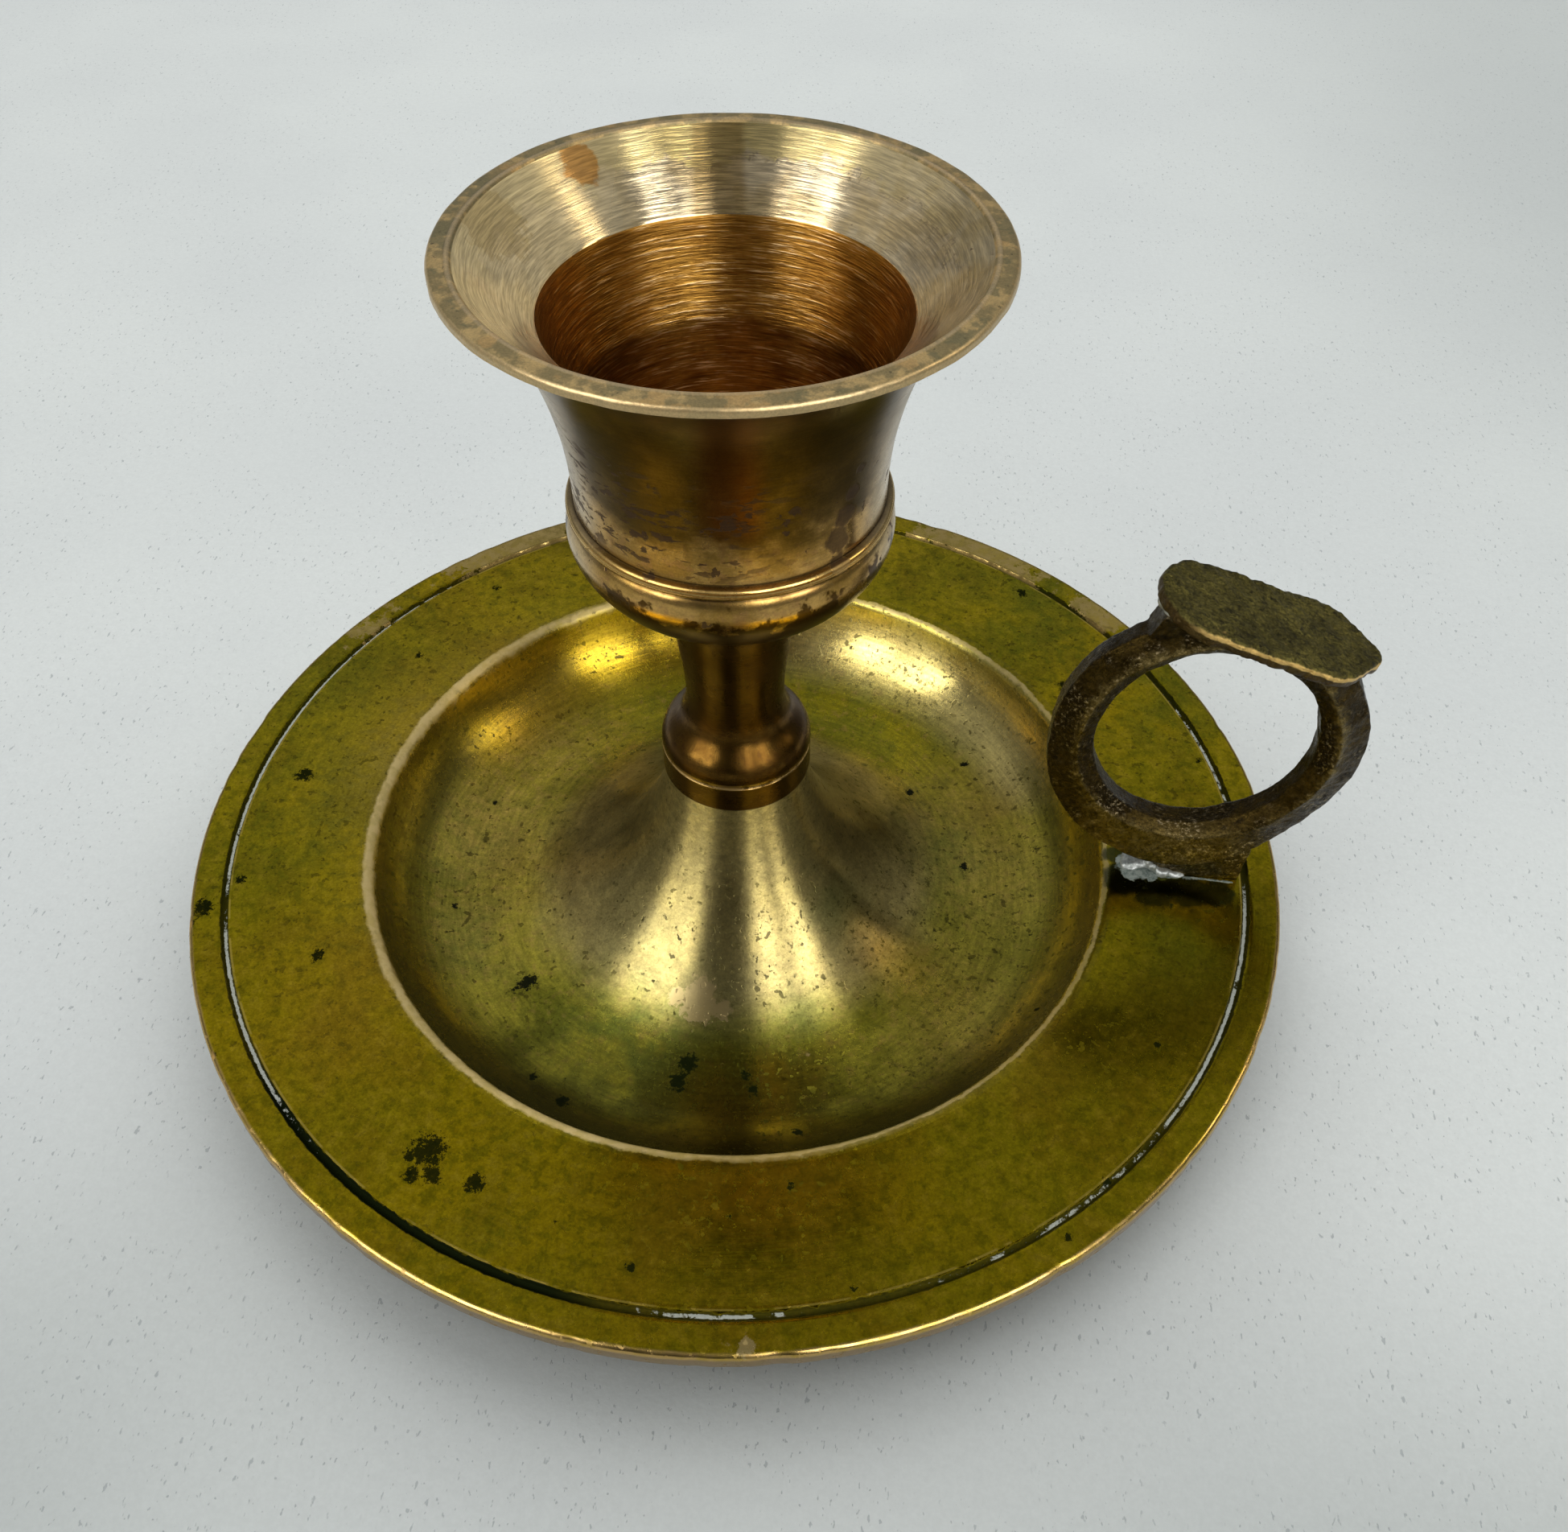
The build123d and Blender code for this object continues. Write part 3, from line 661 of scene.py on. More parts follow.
class Graph(Nodes):
    """A material's nodes, and the colour and normal built up so far."""

    def __init__(self, name):
        self.material = bpy.data.materials.new(name)
        self.material.use_nodes = True
        super().__init__(self.material.node_tree)
        self.tree.nodes.clear()
        self.colour = self.normal = None
        self.shader = self.node("BsdfPrincipled", {})
        self.node("OutputMaterial", {0: self.shader.outputs[0]})
        place = self.node("TexCoord", {}).outputs["Object"]
        self.p = self.vector("MULTIPLY", place, (1 / MM, 1 / MM, 1 / MM))
        self.x, self.y, self.z = self.node("SeparateXYZ", {0: self.p}).outputs
        self.r = self.math("SQRT", self.plus(self.times(self.x, self.x), self.times(self.y, self.y)))

    def less(self, a, b):
        return self.math("SUBTRACT", a, b)

    def size(self, a):
        return self.math("ABSOLUTE", a)

    def drift(self, noise_value, reach):
        """Noise as a number within about half the reach either side of 0."""
        return self.times(self.less(noise_value, 0.5), reach)

    def sway(self, value, noise_value, reach):
        """A value that wanders, for an edge that isn't straight."""
        return self.plus(value, self.drift(noise_value, reach))

    def noise(self, scale, detail=4.0, rough=0.5, vector=None, twist=0.0):
        inputs = {"Vector": self.p if vector is None else vector, "Scale": scale, "Detail": detail,
                  "Roughness": rough, "Distortion": twist}
        return self.node("TexNoise", inputs).outputs["Fac"]

    def turned(self, around, along):
        """Noise coordinates for lathe marks: stretched round the Z axis, fine across it."""
        safe = self.most(self.r, 0.01)
        inputs = {i: self.times(self.math("DIVIDE", v, safe), around) for i, v in enumerate((self.x, self.y))}
        inputs[2] = self.times(self.plus(self.z, self.r), along)
        return self.node("CombineXYZ", inputs).outputs[0]

    def across(self):
        """How far to the camera's right a point is from the axis."""
        return self.plus(self.times(self.x, math.cos(CAMERA_SIDE)), self.times(self.y, math.sin(CAMERA_SIDE)))

    def band(self, value, low, high, soft):
        """1 from low to high, and 0 outside them."""
        return self.times((value, low - soft, low + soft), (value, high + soft, high - soft))

    def ramp(self, value, low, high, a, b):
        """A number that goes from a to b while the value goes from low to high."""
        return self.blend(self.step(value, low, high), a, b)

    def spot(self, centre, radius, wander):
        """A blotch with a wandering edge round a point."""
        away = self.sway(self.vector("DISTANCE", self.p, centre, "Value"), self.noise(0.8, 5.0, 0.65),
                         2 * wander * radius)
        return self.step(away, radius * 1.1, radius * 0.8)

    def mark(self, name):
        """A strength painted on the vertices."""
        return self.node("Attribute", {}, attribute_name=name).outputs["Fac"]

    def mix(self, share, a, b):
        """A colour between a and b."""
        return self.node("Mix", {0: share, 6: a, 7: b}, data_type="RGBA").outputs[2]

    def blend(self, share, a, b):
        """A number between a and b."""
        return self.node("Mix", {0: share, 2: a, 3: b}, data_type="FLOAT").outputs[0]

    def pair(self, share, a, b):
        """A colour between two 8-bit sRGB colours."""
        return self.mix(share, linear(*a), linear(*b))

    def tint(self, rgb, *shares):
        """Mixes the colour so far towards another, by the product of the shares."""
        other = linear(*rgb) if isinstance(rgb, tuple) else rgb
        self.colour = self.mix(self.times(*shares), self.colour, other)

    def shade(self, low, high, share):
        """Makes the colour so far darker and lighter by a number from 0 to 1."""
        scale = self.ramp(share, 0.34, 0.66, low, high)
        self.colour = self.node("VectorMath", {0: self.colour, "Scale": scale}, operation="SCALE").outputs[0]

    def bump(self, height, distance, strength=1.0):
        """Adds a relief to the normal so far."""
        inputs = {"Distance": distance * MM, "Strength": strength, "Height": height}
        if self.normal is not None:
            inputs["Normal"] = self.normal
        self.normal = self.node("Bump", inputs).outputs[0]

    def finish(self, rough, metal, streak=0.0):
        """Feeds the shader, with highlights stretched along lathe marks where there is a streak."""
        inputs = {"Base Color": self.colour, "Roughness": rough, "Metallic": metal, "Normal": self.normal}
        if streak:
            tangent = self.node("Tangent", {}, direction_type="RADIAL", axis="Z").outputs[0]
            inputs |= {"Anisotropic": streak, "Anisotropic Rotation": 0.25, "Tangent": tangent}
        for socket, value in inputs.items():
            self.feed(self.shader.inputs[socket], value)
        return self.material


def flange_colour(g, cloud, mottle):
    """Olive patina, darker behind, and darker at the right where a dark reflection of the finger ring is
    painted.
    """
    g.colour = g.pair(g.step(g.noise(0.045, 3, 0.55), 0.36, 0.62), (172, 146, 16), (154, 137, 18))
    g.tint((138, 114, 16), (cloud, 0.46, 0.66), 0.55)
    g.tint((116, 108, 12), (mottle, 0.50, 0.62), 0.6)
    g.tint((180, 154, 36), (mottle, 0.47, 0.36), 0.5)
    # right: a painted dark reflection of the finger ring on the flange in front of it; behind: darker
    right = g.times((g.x, 30, 40), (g.size(g.plus(g.y, 10)), 14, 6))
    behind = g.times((g.y, 34, 41), (g.x, 2, -10))
    g.tint((104, 90, 10), g.most(g.times(right, 0.5), g.times(behind, 0.95)))
    return g.colour


def well_colour(g, cloud, mottle):
    """Green gold, darker at the right."""
    g.colour = g.pair(g.step(g.sway(g.y, cloud, 40), -6, 14), (178, 166, 50), (164, 150, 22))
    g.tint((136, 131, 26), (cloud, 0.44, 0.62))
    g.tint((182, 148, 72), (mottle, 0.54, 0.66), 0.5)
    g.tint((118, 116, 36), (mottle, 0.46, 0.36), 0.4)
    g.tint((120, 112, 36), (g.x, 12, 26), 0.65)
    return g.colour


def age_well(g, cloud, mottle, in_well, on_cone):
    """The pale cone, the painted tints with painted shade and painted orange reflections, a darker front
    half, painted shade on the wall of the well and a paler back wall under its highlights.
    """
    g.tint((184, 164, 108), on_cone, 0.85)
    g.tint(g.pair(in_well, (92, 108, 28), (88, 116, 56)), g.mark("green"), (cloud, 0.34, 0.58), 0.75)
    # copper tone and painted orange reflections
    g.tint((190, 132, 48), g.mark("copper_and_glints"), (cloud, 0.3, 0.55), 0.55)
    g.tint((200, 170, 78), g.mark("gold"), g.ramp(mottle, 0.4, 0.6, 0.45, 0.85))
    # painted shade on the cone's sides
    g.tint((84, 68, 22), g.mark("cone_shade"), g.ramp(cloud, 0.4, 0.6, 0.7, 0.95))
    front = g.times(in_well, (g.y, -15, -27), (g.r, 17, 22))
    g.tint((92, 82, 18), front, g.ramp(cloud, 0.4, 0.6, 0.5, 0.9))
    # painted shade on the steep front wall of the well, by the lip
    g.tint((60, 48, 6), in_well, (g.y, -20, -30), (g.r, 27, 31), 0.8)
    # painted highlight tone: the back wall is paler where the windows' highlights fall on it
    g.tint(g.pair(g.step(g.x, -8, 4), (176, 142, 34), (206, 184, 118)),
           in_well, (g.r, 26, 31), (g.y, 8, 16), 0.75)
    # painted shade on the well's wall at the left and right
    wall_shade = g.times(in_well, (g.r, 29.6, 31.6), (g.y, 19, 13))
    g.tint((94, 88, 26), wall_shade, g.ramp(mottle, 0.4, 0.6, 0.5, 0.8))


def speckle(g, cloud, in_well):
    """Specks everywhere, freckles in the well and the painted stains."""
    peppered = g.step(g.noise(2, 3, 0.7), 0.60, 0.68)
    pits = g.step(g.noise(0.95, 3, 0.6), 0.68, 0.72)
    dotted = g.step(g.noise(1.3, 2, 0.5), 0.64, 0.68)
    specks = g.most(g.times(peppered, (cloud, 0.36, 0.6), 0.75), pits, g.times(dotted, 0.7))
    stain = g.step(g.sway(g.mark("stain"), g.noise(1.9, 5, 0.8), 2.4), 0.50, 0.70)
    freckled = g.times((g.noise(1.5, 5, 0.8), 0.56, 0.62), in_well,
                       (g.noise(0.12, 3, 0.6), 0.44, 0.56), g.ramp(g.x, 0, 14, 0.35, 0.8))
    g.tint((74, 68, 16), freckled)
    g.tint((66, 62, 16), specks, 0.65)
    g.tint((16, 26, 8), stain, 0.95)
    return specks, stain


def line_groove(g, mottle, grain, patina):
    """The groove's dirt and painted shade, its chalky line and the bright line inside it."""
    off = g.size(g.less(g.r, GROOVE_R))
    thick = g.times((g.y, -24, -34), (g.x, 2, -8))
    on_top = g.step(g.z, FLANGE_TOP - 0.75, FLANGE_TOP - 0.6)
    # the groove's dirt and painted shade in it, wider at the front
    groove_shade_and_dirt = g.times((g.less(g.sway(off, mottle, 0.6), g.times(thick, 0.05)), 0.40, 0.28), on_top)
    g.tint(g.pair(thick, (30, 36, 14), (24, 30, 12)), groove_shade_and_dirt, g.blend(g.most(patina, thick), 0.7, 1))
    ragged = g.sway(g.r, g.noise(1.6, 4, 0.7), 0.34)
    chalk_line = g.step(g.size(g.less(ragged, GROOVE_R - 0.06)), 0.17, 0.10)
    broken = g.sway(g.mark("lime"), g.noise(0.8, 5, 0.75), 1.9)
    chalk = g.times(chalk_line, on_top, (broken, 0.50, 0.66))
    g.tint((184, 188, 178), chalk, g.blend(grain, 0.6, 1))
    bright_line = g.times(g.band(g.r, GROOVE_R - 0.56, GROOVE_R - 0.40, 0.04), on_top,
                          (g.noise(0.3, 3, 0.6), 0.42, 0.5))
    g.tint((206, 178, 84), bright_line, 0.55)
    return groove_shade_and_dirt, chalk


def wear_edges(g, mottle):
    """The worn lip of the well, a painted highlight along the outer edge with its side darker below, and the
    rubbed places on the rim.
    """
    wander = g.drift(g.noise(0.55, 5, 0.7), 0.9)
    near_lip = g.plus(g.r, wander)
    lip_wide = g.times((near_lip, 33.7, 34.1), (near_lip, 34.95, 34.6))
    lip_thin = g.times((near_lip, 34, 34.2), (near_lip, 34.6, 34.4))
    lip_mark = g.times(g.blend(g.mark("lip"), lip_thin, lip_wide), (g.z, 8.2, 9),
                       g.blend(g.mark("lip"), 0.7, 1))
    g.tint((208, 184, 122), lip_mark, g.ramp(mottle, 0.4, 0.6, 0.65, 1))
    # a painted highlight along the top of the outer edge, darker on the side below it
    edge_highlight = g.times((g.plus(g.r, g.times(wander, 0.3)), 49.50, 49.75), (g.z, 7.6, 8.2))
    g.tint((188, 156, 96), edge_highlight, g.ramp(mottle, 0.36, 0.6, 0.55, 1))
    edge_low = g.times(edge_highlight, (g.plus(g.z, g.times(wander, 0.4)), 9.35, 9.1))
    g.tint((120, 98, 66), edge_low, 0.7)
    worn_rim = g.step(g.sway(g.mark("worn"), g.noise(0.5, 5, 0.7), 2.2), 0.5, 0.62)
    worn_rim = g.times(worn_rim, (g.r, 46.7, 47.3))
    g.tint((196, 168, 104), worn_rim, g.ramp(mottle, 0.4, 0.6, 0.5, 0.85))
    return lip_mark


def pan_material(name, brushed, coat):
    g = Graph(name)
    cloud = g.noise(0.16, 5, 0.6)
    mottle = g.noise(0.9, 6, 0.62)
    grain = g.noise(5.5, 4, 0.6)
    streaks = g.noise(1, 5, 0.6, g.turned(7, 2.6))
    patina = g.noise(2.3, 5, 0.72)
    in_well = g.step(g.r, 34.6, 33.2)
    on_cone = g.step(g.sway(g.r, cloud, 5), 21.5, 15.5)
    g.colour = g.mix(in_well, flange_colour(g, cloud, mottle), well_colour(g, cloud, mottle))
    age_well(g, cloud, mottle, in_well, on_cone)
    g.shade(0.84, 1.12, patina)
    g.shade(0.86, 1.10, grain)
    g.shade(g.blend(in_well, 0.94, 0.84), g.blend(in_well, 1.05, 1.14), streaks)
    specks, stain = speckle(g, cloud, in_well)
    groove_shade_and_dirt, chalk = line_groove(g, mottle, grain, patina)
    lip_mark = wear_edges(g, mottle)
    film = g.step(g.sway(g.mark("film"), g.noise(1.3, 5, 0.75), 1.5), 0.42, 0.54)
    g.tint((204, 180, 124), film, 0.75)
    # painted shadow of the ring's foot, with dark patina
    g.tint((36, 46, 22), (g.sway(g.mark("ring_shadow_and_patina"), mottle, 0.6), 0.40, 0.62), 0.85)
    flux = g.step(g.sway(g.mark("flux"), mottle, 0.9), 0.46, 0.58)
    g.tint(g.pair(g.step(patina, 0.38, 0.62), (168, 176, 166), (112, 126, 118)), flux)
    pale = g.most(flux, chalk)
    metal = g.blend(g.most(pale, g.times(lip_mark, 0.6)), 1, 0.15)
    rough = g.ramp(cloud, 0.36, 0.64, 0.20, 0.29)
    rough = g.blend(g.times(lip_mark, 0.7), rough, 0.5)
    rough = g.blend(on_cone, rough, 0.35)
    rough = g.blend(g.most(g.most(stain, groove_shade_and_dirt), pale, g.times(specks, 0.6)), rough, 0.8)
    g.bump(streaks, 0.012, 0.7)
    g.bump(patina, 0.003, 0.5)
    g.bump(g.less(pale, g.times(specks, 0.25)), 0.04, 0.6)
    g.shader.inputs["Coat Weight"].default_value = coat
    g.shader.inputs["Coat Roughness"].default_value = 0.22
    return g.finish(rough, metal, brushed)


def under_material():
    g = Graph("aged_pan_underside")
    cloud = g.noise(0.14, 5, 0.62)
    mottle = g.noise(0.8, 6, 0.65)
    streaks = g.noise(1, 5, 0.6, g.turned(9, 3))
    g.colour = g.pair(g.step(cloud, 0.38, 0.62), (150, 122, 48), (112, 94, 40))
    g.tint((96, 104, 52), (mottle, 0.56, 0.7), 0.6)
    rest_ring = g.times(g.band(g.sway(g.r, mottle, 1.6), 21.8, 26.4, 0.4), (g.z, 0.5, 0.2))
    g.tint((196, 164, 84), rest_ring, 0.8)
    g.shade(0.8, 1.15, g.noise(5, 4, 0.6))
    g.shade(0.8, 1.15, streaks)
    pits = g.step(g.noise(1.1, 4, 0.75), 0.66, 0.72)
    g.tint((46, 50, 24), pits, 0.8)
    g.bump(streaks, 0.02, 0.8)
    g.bump(mottle, 0.02, 0.6)
    return g.finish(g.blend(pits, g.blend(cloud, 0.36, 0.52), 0.8), g.blend(pits, 1, 0.3), 0.3)


# down the cup's front right: (centre, radius, wander)
RUN_DOWN = [((8.9, -8, 50.6), 1.2, 0.8), ((9.1, -8.2, 48.6), 0.9, 0.8), ((9.4, -7.7, 52.4), 0.8 * 1.3, 0.6),
            ((9.9, -7.6, 54.3), 0.65 * 1.3, 0.6), ((10.4, -7.5, 56.2), 0.5 * 1.3, 0.6)]


def cup_outside_material():
    g = Graph("tarnished_cup_brass")
    cloud = g.noise(0.22, 5, 0.6)
    mottle = g.noise(1.1, 6, 0.62)
    streaks = g.noise(1, 4, 0.6, g.turned(6, 4.5))
    g.colour = g.pair(g.step(cloud, 0.38, 0.62), (190, 152, 86), (152, 119, 58))
    g.tint((158, 118, 74), (mottle, 0.50, 0.64), 0.5)
    # painted reflection: paler at the flanks as seen from the camera
    flank_reflection = g.step(g.math("DIVIDE", g.size(g.across()), g.r), 0.74, 0.9)
    g.tint((190, 172, 136), flank_reflection, 0.6)
    # darker upper cup: tarnish, with painted shade for the dark the front reflects, less at the flanks
    up = g.times((g.sway(g.z, cloud, 6), 50.6, 53.6), g.blend(flank_reflection, 1, 0.45))
    g.tint((76, 58, 19), up, g.ramp(cloud, 0.4, 0.6, 0.86, 0.98))
    # painted dark reflection: a reddish brown stripe down the front that faces the camera
    middle = g.step(g.size(g.plus(g.x, g.times(g.y, 0.16))), 3, 0.8)
    g.tint((104, 52, 14), middle, (g.y, -2, -6), (g.z, 51, 55), 0.6)
    # dark flecks, long round the cup, thick on its front left and low down
    flecks = g.step(g.noise(1.7, 3, 0.55, g.turned(4.6, 1), 0.35), 0.55, 0.59)
    side = g.step(g.less(g.times(g.y, -1), g.x), 2, 13)
    where = g.times(side, g.band(g.z, 49.2, 58, 1.2))
    flecks = g.times(flecks, g.blend(where, 0.12, 1), (g.noise(0.35, 3, 0.5), 0.36, 0.5))
    blots = g.times((g.noise(0.62, 4, 0.6), 0.64, 0.66), g.band(g.z, 43.5, 56, 1.5))
    dark = g.most(flecks, g.most(blots, g.most(*(g.times(g.spot(*s), 0.9) for s in RUN_DOWN))))
    g.tint((66, 44, 24), dark, 0.85)
    # painted shade in the creases at the bead's edges, and a painted highlight along the bead
    bead_crease_shade = g.most(g.band(g.z, 48.66, 48.86, 0.05), g.band(g.z, 47.55, 47.72, 0.05))
    g.tint((58, 40, 20), bead_crease_shade, g.blend(mottle, 0.5, 0.9))
    g.tint((206, 172, 104), g.band(g.z, 47.78, 48.62, 0.04), 0.5)
    # darker below the bulge, round the underside of the bowl
    dark_below_bulge = g.times((g.sway(g.z, g.noise(0.5, 4, 0.6), 9), 46.1, 45.4), 0.92)
    g.tint((66, 44, 8), dark_below_bulge)
    g.shade(0.88, 1.1, g.noise(6, 4, 0.6))
    g.shade(0.90, 1.08, streaks)
    rough = g.blend(g.times(up, 0.8), g.ramp(cloud, 0.36, 0.64, 0.2, 0.3), 0.33)
    rough = g.blend(dark_below_bulge, g.blend(dark, rough, 0.5), 0.3)
    g.bump(streaks, 0.004, 0.6)
    g.bump(mottle, 0.006, 0.5)
    g.bump(g.times(dark, -1), 0.02, 0.6)
    return g.finish(rough, g.blend(dark, 1, 0.75), 0.2)


def rim_material():
    g = Graph("worn_cup_rim")
    cloud = g.noise(0.5, 5, 0.65)
    mottle = g.noise(1.6, 6, 0.65)
    patch = g.noise(0.32, 4, 0.6)
    g.colour = g.pair(g.step(cloud, 0.42, 0.56), (196, 166, 110), (146, 128, 86))
    g.tint((122, 114, 80), (patch, 0.55, 0.6), 0.7)
    g.tint((194, 156, 98), (patch, 0.42, 0.37), 0.6)
    g.tint((74, 64, 44), (mottle, 0.62, 0.68), 0.7)
    g.tint((206, 180, 140), g.band(g.r, 17.62, 17.95, 0.05), g.blend(cloud, 0.2, 0.7))
    g.tint((206, 178, 128), (g.sway(g.r, mottle, 0.2), 18.93, 19.05), 0.75)
    g.shade(0.88, 1.1, g.noise(7, 3, 0.6))
    g.bump(mottle, 0.03, 0.7)
    g.bump(g.noise(0.9, 4, 0.6), 0.05, 0.5)
    return g.finish(g.blend(cloud, 0.24, 0.42), 0.6, 0.25)


def mouth_material():
    g = Graph("brushed_cup_mouth")
    cloud = g.noise(0.28, 5, 0.6)
    mottle = g.noise(1.4, 6, 0.65)
    fine = g.noise(1, 3, 0.6, g.turned(4, 3.2))
    scratch = g.noise(1, 2, 0.6, g.turned(9, 6))
    g.colour = g.pair(g.step(cloud, 0.4, 0.62), (218, 198, 160), (200, 176, 130))
    height = g.sway(g.z, g.noise(0.42, 5, 0.65), 5.5)
    film = g.times((height, 66, 66.5), g.ramp(g.y, -12, 8, 0.45, 1))
    g.tint((204, 182, 108), film, g.ramp(g.x, 4, 12, 0.65, 0.2))
    film_edge = g.times(g.band(height, 66, 66.12, 0.08), g.ramp(mottle, 0.4, 0.6, 0.2, 1))
    g.tint((112, 88, 40), film_edge, 0.6)
    # painted light: the left side paler, for light the opposite wall reflects onto it
    g.tint((238, 216, 164), (g.x, -6, -13), 0.7)
    # painted shade: a dark gap between the highlight streaks at the back, where the camera looks
    streak_gap_shade = g.times((g.size(g.plus(g.across(), 0.3)), 2.3, 1.5), (g.y, 4, 8))
    g.tint((158, 130, 78), streak_gap_shade, 0.7)
    # a painted orange reflection at the back left of the mouth
    g.tint((206, 138, 38), g.spot((-12, 11.3, 67), 1.5, 0.9), 0.75)
    g.tint((176, 146, 80), g.spot((-16.2, 2.4, 66.9), 3, 0.9), 0.4)
    dots = g.times((g.noise(1.7, 4, 0.7), 0.67, 0.71), (g.x, 2, 10))
    g.tint((96, 66, 34), dots, 0.8)
    g.shade(0.82, 1.12, fine)
    g.shade(0.80, 1.15, scratch)
    g.bump(fine, 0.018, 0.8)
    g.bump(scratch, 0.01, 0.8)
    rough = g.blend(film, g.ramp(fine, 0.36, 0.64, 0.11, 0.2), 0.17)
    return g.finish(rough, g.ramp(g.x, -8, -14, 0.8, 0.5), 0.9)


def bore_material():
    g = Graph("amber_cup_bore")
    cloud = g.noise(0.3, 5, 0.6)
    mottle = g.noise(1.3, 6, 0.65)
    rings = g.noise(1, 4, 0.7, g.turned(2, 2.6))
    scratch = g.noise(1, 2, 0.6, g.turned(6, 7))
    g.colour = g.pair(g.step(cloud, 0.36, 0.64), (186, 138, 60), (150, 106, 42))
    g.tint((140, 96, 38), (mottle, 0.5, 0.7), 0.5)
    g.tint((226, 194, 142), g.times((rings, 0.50, 0.62), (scratch, 0.44, 0.60)), 0.85)
    g.tint((112, 72, 24), (rings, 0.46, 0.36), 0.7)
    g.tint((112, 68, 20), (g.z, 60, 62.6), (cloud, 0.55, 0.4), 0.5)
    g.tint((104, 74, 28), (g.size(g.x), 4.5, 10), 0.6)
    floor = g.step(g.z, 44.8, 44.6)
    g.tint((128, 82, 30), floor, 0.8)
    g.shade(0.72, 1.2, scratch)
    g.bump(rings, 0.06, 1)
    g.bump(scratch, 0.03, 0.9)
    return g.finish(g.blend(rings, 0.22, 0.42), g.blend(floor, 1, 0.25), 0.6)


def stem_material():
    g = Graph("tarnished_stem_brass")
    cloud = g.noise(0.35, 5, 0.6)
    mottle = g.noise(1.4, 6, 0.65)
    fine = g.noise(1, 5, 0.7, g.turned(5, 8))
    g.colour = g.pair(g.step(cloud, 0.36, 0.62), (94, 68, 26), (74, 50, 17))
    g.tint((86, 61, 22), g.band(g.z, 25.5, 36, 1.5), g.blend(cloud, 0.4, 0.9))
    g.tint((62, 40, 18), (mottle, 0.56, 0.68), 0.6)
    g.tint((92, 66, 24), (g.z, 21.9, 21.6), g.blend(mottle, 0.5, 0.9))
    g.tint((206, 170, 108), g.band(g.z, 21.55, 22.15, 0.1), (cloud, 0.4, 0.5), 0.7)
    g.shade(0.8, 1.12, fine)
    g.bump(fine, 0.02, 0.8)
    g.bump(mottle, 0.012, 0.5)
    return g.finish(g.ramp(cloud, 0.36, 0.64, 0.22, 0.34), 1, 0.4)


def ring_material():
    g = Graph("dark_cast_bronze")
    cloud = g.noise(0.3, 5, 0.62)
    mottle = g.noise(1.2, 6, 0.68)
    grain = g.noise(2.6, 6, 0.75, g.vector("MULTIPLY", g.p, (1, 2.2, 1)))
    g.colour = g.pair(g.step(cloud, 0.36, 0.62), (58, 46, 19), (38, 29, 11))
    g.tint((30, 25, 16), (mottle, 0.54, 0.66), 0.7)
    g.tint((120, 104, 62), (g.sway(g.size(g.y), mottle, 1.4), 1.55, 2.1), 0.7)
    g.tint((98, 84, 46), (g.z, 18, 13.5), 0.55)
    rubbed = g.most(g.spot((46, -2, 13.6), 2.3, 0.5), g.times(g.spot((41, -2.2, 13), 3, 0.5), 0.5))
    pale = g.times((grain, 0.52, 0.66), g.most(g.times((cloud, 0.46, 0.6), 0.5), rubbed))
    g.tint((176, 160, 128), pale, 0.8)
    g.shade(0.45, 1.5, grain)
    g.bump(mottle, 0.16, 1)
    g.bump(grain, 0.05, 1)
    return g.finish(g.ramp(mottle, 0.36, 0.64, 0.22, 0.46), 1)


def plate_material():
    g = Graph("rough_thumb_plate")
    mottle = g.noise(1.5, 6, 0.7)
    grain = g.noise(4, 5, 0.72)
    g.colour = g.pair(g.step(g.noise(0.35, 5, 0.62), 0.38, 0.62), (100, 92, 46), (76, 70, 36))
    g.tint((36, 34, 24), (mottle, 0.52, 0.64), 0.8)
    g.shade(0.5, 1.4, grain)
    # brown below the top face, and a painted highlight along the front arris; above is measured from that
    # face
    above = g.less(g.plus(g.times(g.x, math.sin(TILT)), g.times(g.z, math.cos(TILT))),
                   PLATE_X * math.sin(TILT) + PLATE_TOP_Z * math.cos(TILT))
    side = g.step(g.sway(above, mottle, 0.5), -0.10, -0.32)
    g.tint((70, 54, 28), side, 0.85)
    arris_highlight = g.times(g.band(g.sway(above, mottle, 0.3), -0.46, -0.14, 0.06),
                    (g.x, 34.5, 37.5), (g.y, 1, -1))
    # painted highlight along the front arris
    g.tint((212, 178, 108), arris_highlight, 0.9)
    g.bump(mottle, 0.22, 1)
    g.bump(grain, 0.07, 1)
    return g.finish(g.blend(side, g.blend(mottle, 0.42, 0.68), 0.34), 0.95)


def solder_material():
    g = Graph("soft_solder")
    cloud = g.noise(0.9, 5, 0.6)
    grain = g.noise(5, 5, 0.7)
    g.colour = g.pair(g.step(cloud, 0.4, 0.6), (214, 217, 212), (168, 174, 168))
    g.shade(0.7, 1.1, grain)
    g.bump(cloud, 0.08, 0.8)
    g.bump(grain, 0.03, 0.8)
    return g.finish(g.blend(grain, 0.34, 0.6), 0.4)


def steel_material():
    g = Graph("dull_fastener_steel")
    cloud = g.noise(0.8, 5, 0.6)
    fine = g.noise(1, 4, 0.7, g.turned(4, 9))
    g.colour = g.pair(g.step(cloud, 0.4, 0.6), (150, 144, 134), (116, 108, 96))
    g.tint((106, 70, 44), (g.noise(1.6, 5, 0.7), 0.58, 0.66), 0.7)
    g.shade(0.8, 1.1, fine)
    g.bump(fine, 0.02, 0.8)
    return g.finish(g.blend(cloud, 0.34, 0.55), 1, 0.3)


